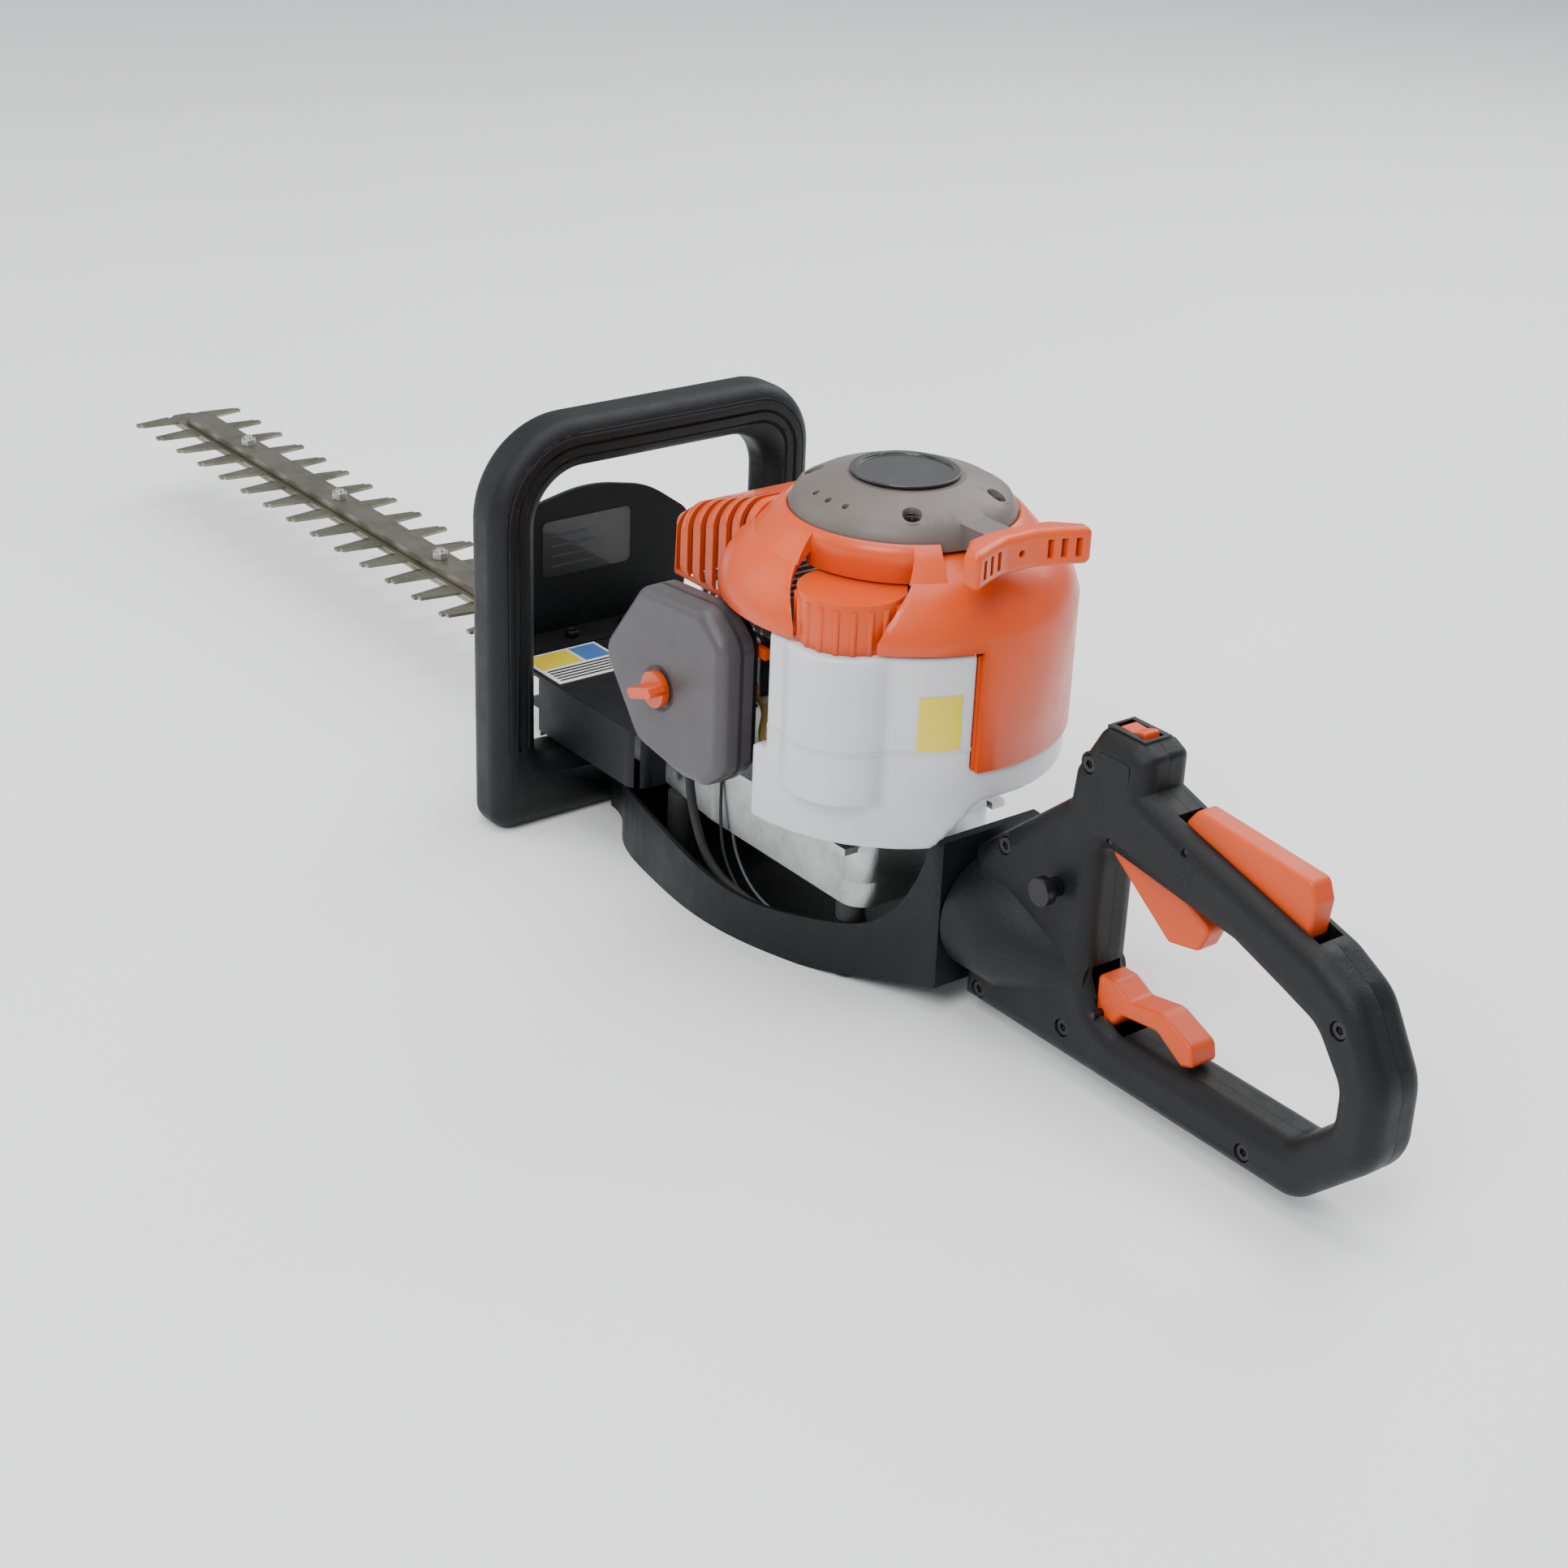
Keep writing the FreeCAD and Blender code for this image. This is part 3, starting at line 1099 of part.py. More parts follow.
def starter_badge():
    """The round blank badge on the dome."""
    base = rod((ENGINE_X, 0, DOME_TOP), 28, 1.5)
    rim = tube((ENGINE_X, 0, DOME_TOP + 1), 29, 25, 1.5)
    return fuse(base, rim)


def starter_pulley():
    low = PULLEY_Z
    wheel = rod((ENGINE_X, 0, low), D.pulley_r, 12)
    groove = tube((ENGINE_X, 0, low + 3.5), D.pulley_r + 2, D.pulley_r - 5, 5)
    bore = rod((ENGINE_X, 0, low - 1), 7 + D.run_gap, 20)
    pockets = [rod((ENGINE_X + 19 * math.cos(math.radians(a)), 19 * math.sin(math.radians(a)), low - 1), 4, 14)
               for a in (0, 72, 144, 216, 288)]
    return cut(wheel, groove, bore, *pockets)


def starter_handle():
    """A bowed T-grip that rests against the rope guide."""
    low, high = ROPE_Z - 10, ROPE_Z + 10
    bow = [(GRIP_X, -12), (GRIP_X + 3, -26), (GRIP_X + 16, -40), (GRIP_X + 25, -38, 3), (GRIP_X + 18, -22, 12),
           (GRIP_X + 14, -10, 12), (GRIP_X + 14, 10, 12), (GRIP_X + 18, 22, 12), (GRIP_X + 25, 38, 3),
           (GRIP_X + 16, 40), (GRIP_X + 3, 26), (GRIP_X, 12)]
    body = slab("XY_Plane", bow, low, high, rim=as_size(4))
    slots = []
    for side in (-1, 1):
        for y in (17, 24, 31):
            slots.append(box((GRIP_X - 2, GRIP_X + 30), (side * y - 1.5, side * y + 1.5), (low + 5, high - 5)))
    return cut(body, rod((GRIP_X - 2, 0, ROPE_Z), 2, 20, "x"), *slots)


def starter_rope():
    """The end of the rope, between the guide and the knot in the grip."""
    return rod((GRIP_X - 8, 0, ROPE_Z), 1.9, 16, "x")


# ---------------------------------------------------------------- fuel tank

def tank_body(inset):
    """The tank: a low ring sector, a taller wall on the left, and the filler column."""
    centre = (ENGINE_X, as_size(0))
    outer, inner = D.shroud_r - 2 - inset, D.tank_inner_r + inset
    low, mid, top = D.tank_low_z + inset, D.tank_mid_z - inset, D.tank_top_z - inset
    turn = float(inset) * 1.3
    ring = common(tube((ENGINE_X, 0, low), outer, inner, mid - low),
                  sector(centre, D.shroud_r, low - 1, mid + 1, -90 + turn, 56 - turn))
    wall = common(tube((ENGINE_X, 0, mid - 1), outer, inner + 6, top - mid + 1),
                  sector(centre, D.shroud_r, mid - 2, top + 1, -84 + turn, -13.5 - turn))
    column = rod((FILLER_X, D.filler_y, D.tank_mid_z - 16 + inset), D.filler_r - inset,
                 top - D.tank_mid_z + 16 - inset)
    belly_end, keel_top = as_size(-40) - inset, D.tank_low_z + 24 + inset
    rise = keel_top - low + 1
    keel = slab("YZ_Plane", [(belly_end, low - 1), (as_size(100), low - 1), (as_size(100), keel_top),
                             (belly_end + rise, keel_top)], ENGINE_X + 30, ENGINE_X + 120)
    return cut(fuse(ring, wall, column), keel)


def fuel_tank():
    neck_low = D.tank_top_z - 4
    neck = rod((FILLER_X, D.filler_y, neck_low), D.neck_r, 13)
    mouth = rod((FILLER_X, D.filler_y, neck_low - 6), D.neck_r - 4, 30)
    shell = cut(tank_body(as_size(0)), tank_body(D.tank_wall))
    return cut(fuse(shell, neck), mouth)


def fuel_cap():
    """The ribbed cap: a skirt around the neck, and a plug inside it."""
    low = D.tank_top_z + 0.5
    outer = rod((FILLER_X, D.filler_y, low), D.cap_r - 1.2, D.cap_height)
    ribs = []
    reach = D.cap_r - 2
    for step in range(20):
        angle = math.radians(18 * step)
        at = (FILLER_X + reach * math.cos(angle), D.filler_y + reach * math.sin(angle), low)
        ribs.append(rod(at, 2, D.cap_height - 3))
    groove = tube((FILLER_X, D.filler_y, low - 1), D.neck_r + 0.6, D.neck_r - 4.8, 12)
    return cut(fuse(outer, *ribs), groove)


def fuel_line():
    """The hose from the end of the tank to the carburettor."""
    x = CYLINDER_FRONT + 54
    line_z = D.tank_low_z + 26
    route = [(ENGINE_X + 2, -D.tank_inner_r - 12, line_z), (ENGINE_X - 24, -D.tank_inner_r - 10, line_z),
             (x + 36, -56, CARB_Z - 12), (x + 16.5, -56, CARB_Z - 10)]
    return rounded_tube(route, 2.2)


# ---------------------------------------------------------------- rear handle

def handle_outline():
    """The rear handle from the side: a base, a rear bow, a sloping grip and a switch tower."""
    x, low, end = HANDLE_X, D.handle_base_z, HANDLE_END
    return [(x, low), (end - 43, low, 20), (end, low + 40, 26), (end, low + 80, 34),
            (end - 22, low + 118, 30), (end - 46, low + 131, 30), (end - 96, low + 145),
            (end - 132, low + 154), (end - 162, low + 164), (end - 162, low + 181, 4),
            (end - 172, low + 186, 6), (end - 197, low + 186, 6), (end - 212, low + 160, 6),
            (end - 214, low + 142, 6), (x, low + 88)]


def handle_opening():
    x, low, end, bar = HANDLE_X, D.handle_base_z, HANDLE_END, D.grip_thick
    return [(x + 89, low + 52, 10), (x + 97, low + 36, 6), (x + 112, low + bar, 8),
            (end - bar * 1.75, low + bar, 8), (end - bar + 2, low + 52, 12), (end - bar + 2, low + 72, 16),
            (end - 44, low + 95, 20), (end - 66, low + 103, 20), (end - 98, low + 114, 8),
            (x + 89, low + 126, 6)]


def handle_room(inset):
    """The hollow inside the two shells: the grip, the tower and the base."""
    x, low, end, wall = HANDLE_X, D.handle_base_z, HANDLE_END, inset
    return [
        [(x + 10, low + wall), (end - 50, low + wall), (end - 36, low + D.grip_thick - wall),
         (x + 110, low + D.grip_thick - wall), (x + 88, low + 46), (x + 84, low + 124), (x + 84, low + 140),
         (x + 66, low + 134), (x + 10, low + 84)],
        [(x + 80, low + 130), (x + 92, low + 130), (end - 98, low + 118), (end - 66, low + 108), (end - 60, low + 128),
         (end - 98, low + 140), (end - 134, low + 150), (end - 166, low + 160), (end - 166, low + 181),
         (end - 194, low + 181), (end - 207, low + 158), (end - 210, low + 140)],
    ]


def handle_shell(side):
    """One half of the rear handle, split on the middle plane."""
    half = D.grip_half
    inner = as_size(0.1)
    limits = (-half, -inner) if side < 0 else (inner, half)
    high_rim, low_rim = (as_size(0), D.handle_round) if side < 0 else (D.handle_round, as_size(0))
    shell = slab("XZ_Plane", handle_outline(), *limits, high_rim, low_rim, handle_opening())
    barrel = fuse(rod((HANDLE_X, 0, D.swivel_z), D.housing_r, 30, "x"),
                  cone((HANDLE_X + 30, 0, D.swivel_z), D.housing_r, 15, 58, "x"))
    side_room = box((HANDLE_X - 5, HANDLE_X + 120), (inner, 60) if side > 0 else (-60, -inner), (-20, 140))
    solid = fuse(shell, common(barrel, side_room))
    room_half = half - D.shell_wall * 2
    rooms = [slab("XZ_Plane", points, -room_half, room_half) for points in handle_room(D.shell_wall)]
    seat = rod((HANDLE_X - 1, 0, D.swivel_z), D.spigot_r + D.run_gap, 14, "x")
    ring_room = rod((HANDLE_X + 11.5, 0, D.swivel_z), D.spigot_r + 6, 22, "x")
    wall_left = tube((HANDLE_X + 3, 0, D.swivel_z), D.spigot_r + 12, D.spigot_r + D.run_gap, 8, "x")
    web = common(wall_left, side_room)
    posts = [rod((x, -half + 2 if side < 0 else inner, z), D.screw_head_r + 2, half - 2 - inner, "y")
             for x, z in handle_screw_spots()]
    shell = fuse(cut(solid, *rooms, ring_room), web, *posts)
    holes = [screw_hole((x, -(half - 5), z), "y", 1, half * 2 - 12) for x, z in handle_screw_spots()]
    holes += [rod((x, -half - 1, z), 2 + D.run_gap, half * 2 + 2, "y") for x, z in lever_pin_places()]
    if side < 0:
        holes += [rod((x, -half - 1, z), D.screw_head_r + 0.5, 6, "y") for x, z in handle_screw_spots()]
        holes.append(rod((HANDLE_X + 66, -half - 20, D.swivel_z + 46), 5.2, 40, "y"))
    switch_well = box((SWITCH_X - 13, SWITCH_X + 13), (-9, 9), (HANDLE_TOP - 14, HANDLE_TOP + 4))
    return cut(cut(shell, *holes), *lever_slots(), switch_well, seat, handle_ear_room())


def handle_ear_room():
    """The notch in front of the opening where the latch lever swings."""
    x, low = HANDLE_X, D.handle_base_z
    return box((x + 80, x + 115), (-9.5, 9.5), (low + 22, low + 56))


def handle_screw_spots():
    x, low, end = HANDLE_X, D.handle_base_z, HANDLE_END
    return [(end - 200, low + 166), (x + 25, low + 99), (x + 14, low + 10), (x + 78, low + 18), (end - 28, low + 102),
            (end - 74, low + 12)]


def lever_pin_places():
    """Trigger, lockout lever and latch."""
    x, low, end = HANDLE_X, D.handle_base_z, HANDLE_END
    return [(x + 98, low + 132), (end - 132, low + 147), (x + 97, low + 34)]


def lever_slots():
    x, low, end = HANDLE_X, D.handle_base_z, HANDLE_END
    trigger_room = box((x + 90, end - 112), (-8, 8), (low + 84, low + 139))
    lockout_room = slab("XZ_Plane", [(end - 146, low + 140), (end - 52, low + 122), (end - 52, low + 175),
                                     (end - 146, low + 175)], as_size(-8), as_size(8))
    return [trigger_room, lockout_room]


def rear_handle_left():
    return handle_shell(-1)


def rear_handle_right():
    return handle_shell(1)


def rear_handle_screws():
    half = D.grip_half
    return group(*[screw((x, -(half - 5), z), "y", 1, half * 2 - 13) for x, z in handle_screw_spots()])


def trigger():
    (x, z), half = lever_pin_places()[0], as_size(7)
    blade_part = slab("XZ_Plane", [(x - 6, z - 12), (x + 36, z - 42, 4), (x + 56, z - 38, 6), (x + 62, z - 24, 4),
                                   (x + 34, z - 8), (x + 4, z + 4, 3), (x - 6, z + 2, 3)], -half, half, rim=as_size(2.5))
    return cut(blade_part, rod((x, -10, z), 2 + D.run_gap, 20, "y"))


def lockout_lever():
    (x, z), half = lever_pin_places()[1], as_size(7)
    palm = slab("XZ_Plane", [(x - 8, z - 2, 3), (x + 4, z - 6, 3), (x + 66, z - 21, 3), (x + 72, z - 16, 3),
                             (x + 74, z + 2, 4), (x + 70, z + 12, 5), (x - 4, z + 18, 4), (x - 10, z + 10, 3)],
                -half, half, rim=as_size(2.5))
    return cut(palm, rod((x, -10, z), 2 + D.run_gap, 20, "y"))


def swivel_latch():
    (x, z), half = lever_pin_places()[2], as_size(9)
    lever = slab("XZ_Plane", [(x - 5, z - 7, 3), (x + 6, z - 7, 3), (x + 14, z + 4, 6), (x + 38, z + 7, 8),
                              (x + 56, z - 4, 3), (x + 64, z - 1, 3), (x + 62, z + 9, 6), (x + 40, z + 18, 12),
                              (x + 18, z + 14, 6), (x + 6, z + 20, 3), (x - 5, z + 20, 3)],
                 -half, half, rim=as_size(2.5))
    return cut(lever, rod((x, -10, z), 2 + D.run_gap, 20, "y"))


def lever_pins():
    half = D.grip_half
    return group(*[rod((x, -half + 1.5, z), 2, half * 2 - 3, "y") for x, z in lever_pin_places()])


def stop_switch():
    """A rocker on top of the tower."""
    x, top = SWITCH_X, HANDLE_TOP
    rocker = slab("XZ_Plane", [(x - 9, top - 2), (x - 7, top - 7), (x + 7, top - 7), (x + 9, top - 2),
                               (x + 8, top + 3, 1.5), (x, top + 0.5), (x - 8, top + 1, 1.5)],
                  as_size(-5), as_size(5))
    return cut(rocker, rod((x, -6, top - 4), 1.5 + D.run_gap, 12, "y"))


def switch_body():
    """The switch's frame and its contacts, set into the tower."""
    x, top = SWITCH_X, HANDLE_TOP
    frame_part = box((x - 12.9, x + 12.9), (-8.9, 8.9), (top - 13.9, top + 0.8))
    room = box((x - 11, x + 11), (-5.6, 5.6), (top - 11, top + 2))
    axle = rod((x, -6, top - 4), 1.5, 12, "y")
    return fuse(cut(frame_part, room), axle)


def throttle_lock_button():
    half = D.grip_half
    x, z = HANDLE_X + 66, D.swivel_z + 46
    stem = rod((x, -half - 8, z), 5, 15, "y")
    head = rod((x, -half - 13, z), 7.5, 6, "y")
    return fuse(stem, head)


# ---------------------------------------------------------------- all nodes

def machine_screws():
    screws = [screw(at, "x", -1) for at in handle_screw_places()]
    screws += [screw(at, "z", -1) for at in guard_screw_places()]
    screws += [screw((x, y, D.case_floor_z), "z", 1) for x, y in case_screw_places()]
    screws += [screw((x, y, SHROUD_TOP + 10), "z", -1) for x, y in starter_screw_places()]
    return group(*screws)


NODES = [
    upper_blade, lower_blade, guide_bar, blade_bolts, blade_nuts,
    gear_case_lower, gear_case_upper, gear_case_cover, shaft_bearings, crank_gear,
    clutch_drum, clutch_shoes, clutch_housing, crankcase, crankshaft,
    flywheel, cylinder, piston, connecting_rod, spark_plug,
    spark_plug_boot, ignition_coil, muffler, muffler_guard, intake_insulator,
    carburettor, throttle_lever, primer_bulb, air_box, air_filter_element,
    air_filter_cover, filter_knob, choke_lever, engine_shroud, cylinder_cover,
    starter_cover, starter_badge, starter_pulley, starter_handle, starter_rope,
    fuel_tank, fuel_cap, fuel_line, front_handle,
    hand_guard, cradle, swivel_ring, av_mounts, throttle_cable,
    machine_screws, rear_handle_left, rear_handle_right, rear_handle_screws, lever_pins,
    trigger, lockout_lever, swivel_latch, stop_switch, switch_body,
    throttle_lock_button,
]


def main():
    for make in NODES:
        make().Label = make.__name__
    doc.recompute()
    faults = [f"{item.Name} ({', '.join(source.Label for source in item.OutList)})" for item in doc.Objects
              if {"Invalid", "Error"} & set(item.State)]
    if faults:
        raise RuntimeError("failed objects: " + ", ".join(faults))
    os.makedirs("parts", exist_ok=True)
    for label in [make.__name__ for make in NODES]:
        shape = doc.getObjectsByLabel(label)[0].Shape
        if shape.isNull() or not shape.isValid() or not shape.Solids:
            raise RuntimeError(f"{label} has no valid solid")
        shape.exportStep(f"parts/{label}.step")
        print(f"{label:22s} {len(shape.Solids):3d} solids {shape.Volume / 1000:9.2f} cm3")


main()
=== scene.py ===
import math
import bpy
import bmesh
from mathutils import Matrix, Vector


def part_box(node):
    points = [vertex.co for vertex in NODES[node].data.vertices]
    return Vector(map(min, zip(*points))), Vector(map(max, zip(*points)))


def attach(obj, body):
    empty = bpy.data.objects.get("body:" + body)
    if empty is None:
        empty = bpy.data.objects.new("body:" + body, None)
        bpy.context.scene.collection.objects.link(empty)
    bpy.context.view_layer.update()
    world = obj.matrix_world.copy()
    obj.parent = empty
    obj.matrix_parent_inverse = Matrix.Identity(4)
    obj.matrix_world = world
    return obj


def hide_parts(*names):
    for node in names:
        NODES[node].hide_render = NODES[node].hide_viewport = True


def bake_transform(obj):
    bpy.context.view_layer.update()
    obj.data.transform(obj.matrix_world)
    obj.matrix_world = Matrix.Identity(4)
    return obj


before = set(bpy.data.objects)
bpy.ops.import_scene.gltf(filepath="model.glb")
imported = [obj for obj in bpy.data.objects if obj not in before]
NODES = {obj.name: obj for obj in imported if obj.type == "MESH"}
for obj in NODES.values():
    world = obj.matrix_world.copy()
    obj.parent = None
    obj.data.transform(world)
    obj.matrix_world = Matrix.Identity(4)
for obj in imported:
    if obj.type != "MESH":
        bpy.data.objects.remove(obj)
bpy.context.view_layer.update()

# Positions below are in metres: +X runs from the blade to the rear handle, and +Z is up.
LENS_MM = 61.47
SENSOR_MM = 36.0
EYE = Vector((1.23674, -0.85854, 0.71887))
LOOK_AZIMUTH = math.radians(51.8246)
LOOK_ELEVATION = math.radians(25.4644)
LOOK_ROLL = math.radians(2.3667)

# The outer corners of the loop handle.
LOOP_LEFT_CORNER = 0.058
LOOP_RIGHT_CORNER = 0.042


# ---------------------------------------------------------------- small helpers

def deselect():
    if bpy.context.mode != "OBJECT":
        bpy.ops.object.mode_set(mode="OBJECT")
    bpy.ops.object.select_all(action="DESELECT")


def pick(*objects):
    """Selects these objects only, and makes the last one active."""
    deselect()
    for obj in objects:
        obj.select_set(True)
    bpy.context.view_layer.objects.active = objects[-1]
    return objects[-1]


def settle(obj):
    """Puts the object at the origin, with its place in its mesh."""
    pick(obj)
    bpy.ops.object.transform_apply(location=True, rotation=True, scale=True)
    return obj


def apply_modifiers(obj):
    pick(obj)
    for modifier in list(obj.modifiers):
        bpy.ops.object.modifier_apply(modifier=modifier.name)
    return obj


def smooth(obj, degrees=35):
    pick(obj)
    bpy.ops.object.shade_smooth_by_angle(angle=math.radians(degrees))
    return obj


def face_outwards(obj):
    pick(obj)
    bpy.ops.object.mode_set(mode="EDIT")
    bpy.ops.mesh.select_all(action="SELECT")
    bpy.ops.mesh.remove_doubles(threshold=1e-6)
    bpy.ops.mesh.normals_make_consistent(inside=False)
    bpy.ops.object.mode_set(mode="OBJECT")
    return obj


def block(name, low, high, bevel=0.0, segments=3):
    """A block between two corners, with rounded edges."""
    deselect()
    centre = [(a + b) / 2 for a, b in zip(low, high)]
    bpy.ops.mesh.primitive_cube_add(size=1, location=centre, scale=[b - a for a, b in zip(low, high)])
    obj = bpy.context.object
    obj.name = name
    settle(obj)
    if bevel:
        bevel_edges(obj, bevel, segments)
    return smooth(obj)


def bevel_edges(obj, width, segments=3):
    pick(obj)
    bpy.ops.object.mode_set(mode="EDIT")
    bpy.ops.mesh.select_all(action="SELECT")
    bpy.ops.mesh.bevel(offset=width, segments=segments, affect="EDGES", clamp_overlap=True)
    bpy.ops.object.mode_set(mode="OBJECT")
    return obj


def disc(name, centre, radius, depth, axis="Z", vertices=64, bevel=0.0):
    """A round disc or bar centred on a point, along an axis."""
    deselect()
    turn = {"X": (0, math.pi / 2, 0), "Y": (math.pi / 2, 0, 0), "Z": (0, 0, 0)}[axis]
    bpy.ops.mesh.primitive_cylinder_add(vertices=vertices, radius=radius, depth=depth, location=centre,
                                        rotation=turn)
    obj = bpy.context.object
    obj.name = name
    settle(obj)
    if bevel:
        soften = obj.modifiers.new("soften", "BEVEL")
        soften.width = bevel
        soften.segments = 3
        soften.limit_method = "ANGLE"
        apply_modifiers(obj)
    return smooth(obj)


def tube_along(name, points, radius, cyclic=False, sides=4, smooth_line=False):
    """A tube mesh along points."""
    deselect()
    data = bpy.data.curves.new(name, "CURVE")
    data.dimensions = "3D"
    data.bevel_depth = radius
    data.bevel_resolution = sides
    data.use_fill_caps = True
    if smooth_line:
        line = data.splines.new("NURBS")
    else:
        line = data.splines.new("POLY")
    line.points.add(len(points) - 1)
    for spot, point in zip(line.points, points):
        spot.co = (*point, 1)
    line.use_cyclic_u = cyclic
    if smooth_line:
        line.order_u = 3
        line.use_endpoint_u = not cyclic
        line.resolution_u = 12
    obj = bpy.data.objects.new(name, data)
    bpy.context.scene.collection.objects.link(obj)
    pick(obj)
    bpy.ops.object.convert(target="MESH")
    obj = bpy.context.object
    face_outwards(obj)
    return smooth(obj, 50)


def carve(obj, *tools):
    """Cuts the tools out of a closed mesh and removes them."""
    for tool in tools:
        cutting = obj.modifiers.new("carve", "BOOLEAN")
        cutting.operation = "DIFFERENCE"
        cutting.solver = "EXACT"
        cutting.object = tool
        pick(obj)
        bpy.ops.object.modifier_apply(modifier=cutting.name)
        bpy.data.objects.remove(tool, do_unlink=True)
    return obj


def copy_of(node, name):
    """A welded copy of a CAD node with clean flat faces, to be worked on."""
    pick(NODES[node])
    bpy.ops.object.duplicate()
    obj = bpy.context.object
    obj.name = name
    obj.parent = None
    obj.matrix_world = Matrix.Identity(4)
    obj.data.materials.clear()
    pick(obj)
    bpy.ops.object.mode_set(mode="EDIT")
    bpy.ops.mesh.select_all(action="SELECT")
    bpy.ops.mesh.remove_doubles(threshold=1e-6)
    bpy.ops.mesh.dissolve_limited(angle_limit=math.radians(0.5))
    bpy.ops.object.mode_set(mode="OBJECT")
    return obj


def soften_edges(obj, width, degrees=30, segments=2):
    soften = obj.modifiers.new("soften", "BEVEL")
    soften.width = width
    soften.segments = segments
    soften.limit_method = "ANGLE"
    soften.angle_limit = math.radians(degrees)
    soften.harden_normals = True
    return obj


# ---------------------------------------------------------------- shader groups

def new_group(name, inputs, outputs):
    group = bpy.data.node_groups.new(name, "ShaderNodeTree")
    for label, kind, value in inputs:
        socket = group.interface.new_socket(label, in_out="INPUT", socket_type=kind)
        if value is not None:
            socket.default_value = value
    for label, kind in outputs:
        group.interface.new_socket(label, in_out="OUTPUT", socket_type=kind)
    return group, group.nodes.new("NodeGroupInput"), group.nodes.new("NodeGroupOutput")


def noise(tree, vector, scale, detail=4.0, roughness=0.5):
    node = tree.nodes.new("ShaderNodeTexNoise")
    node.inputs["Detail"].default_value = detail
    node.inputs["Roughness"].default_value = roughness
    if isinstance(scale, (int, float)):
        node.inputs["Scale"].default_value = scale
    else:
        tree.links.new(scale, node.inputs["Scale"])
    tree.links.new(vector, node.inputs["Vector"])
    return node.outputs["Fac"]


def remap(tree, value, low, high, to_low, to_high):
    node = tree.nodes.new("ShaderNodeMapRange")
    for name, number in (("From Min", low), ("From Max", high), ("To Min", to_low), ("To Max", to_high)):
        if isinstance(number, (int, float)):
            node.inputs[name].default_value = number
        else:
            tree.links.new(number, node.inputs[name])
    tree.links.new(value, node.inputs["Value"])
    return node.outputs["Result"]


def arith(tree, kind, first, second):
    node = tree.nodes.new("ShaderNodeMath")
    node.operation = kind
    for socket, value in zip(node.inputs, (first, second)):
        if isinstance(value, (int, float)):
            socket.default_value = value
        else:
            tree.links.new(value, socket)
    return node.outputs["Value"]


def blend_colours(tree, factor, first, second, kind="MIX"):
    node = tree.nodes.new("ShaderNodeMix")
    node.data_type = "RGBA"
    node.blend_type = kind
    for socket, value in ((node.inputs[0], factor), (node.inputs[6], first), (node.inputs[7], second)):
        if isinstance(value, (int, float)):
            socket.default_value = value
        elif isinstance(value, tuple):
            socket.default_value = value
        else:
            tree.links.new(value, socket)
    return node.outputs[2]


def make_moulded_group():
    """Moulded plastic: fine spark grain, faint flow marks, light scuffs and dust on upward faces."""
    group, start, end = new_group("moulded_plastic", [
        ("Colour", "NodeSocketColor", (0.5, 0.5, 0.5, 1)),
        ("Grain Scale", "NodeSocketFloat", 1800.0),
        ("Grain Depth", "NodeSocketFloat", 0.3),
        ("Roughness", "NodeSocketFloat", 0.4),
        ("Scuffs", "NodeSocketFloat", 0.3),
        ("Dust", "NodeSocketFloat", 0.1),
    ], [("Colour", "NodeSocketColor"), ("Roughness", "NodeSocketFloat"), ("Normal", "NodeSocketVector")])
    links = group.links
    place = group.nodes.new("ShaderNodeTexCoord").outputs["Object"]
    grain = noise(group, place, start.outputs["Grain Scale"], 2.0, 0.6)
    flow = noise(group, place, 14.0, 3.0)
    cloud = noise(group, place, 60.0, 5.0, 0.6)
    scratch_place = group.nodes.new("ShaderNodeMapping")
    scratch_place.inputs["Rotation"].default_value = (0.3, 0.5, 0.7)
    scratch_place.inputs["Scale"].default_value = (900.0, 60.0, 240.0)
    links.new(place, scratch_place.inputs["Vector"])
    scratch = noise(group, scratch_place.outputs["Vector"], 1.0, 2.0, 0.4)
    scratch_mask = remap(group, scratch, 0.68, 0.8, 0.0, 1.0)
    patch = remap(group, cloud, 0.5, 0.68, 0.0, 1.0)
    scuff = arith(group, "MULTIPLY", arith(group, "MULTIPLY", scratch_mask, patch), start.outputs["Scuffs"])
    normal = group.nodes.new("ShaderNodeNewGeometry").outputs["Normal"]
    parts = group.nodes.new("ShaderNodeSeparateXYZ")
    links.new(normal, parts.inputs["Vector"])
    upward = remap(group, parts.outputs["Z"], 0.55, 1.0, 0.0, 1.0)
    dust = arith(group, "MULTIPLY", arith(group, "MULTIPLY", upward, remap(group, cloud, 0.4, 0.75, 0.2, 1.0)),
                 start.outputs["Dust"])
    tone = remap(group, flow, 0.3, 0.7, 0.9, 1.08)
    toned = blend_colours(group, 1.0, start.outputs["Colour"], tone, "MULTIPLY")
    worn = blend_colours(group, scuff, toned, (0.5, 0.47, 0.43, 1))
    dusty = blend_colours(group, dust, worn, (0.5, 0.45, 0.38, 1))
    links.new(dusty, end.inputs["Colour"])
    rough = arith(group, "ADD", start.outputs["Roughness"], remap(group, cloud, 0.3, 0.7, -0.06, 0.06))
    rough = arith(group, "ADD", rough, arith(group, "MULTIPLY", dust, 0.5))
    rough = arith(group, "ADD", rough, arith(group, "MULTIPLY", scuff, 0.3))
    links.new(rough, end.inputs["Roughness"])
    bump = group.nodes.new("ShaderNodeBump")
    bump.inputs["Distance"].default_value = 0.0004
    links.new(start.outputs["Grain Depth"], bump.inputs["Strength"])
    links.new(arith(group, "SUBTRACT", grain, arith(group, "MULTIPLY", scuff, 0.4)), bump.inputs["Height"])
    links.new(bump.outputs["Normal"], end.inputs["Normal"])
    return group


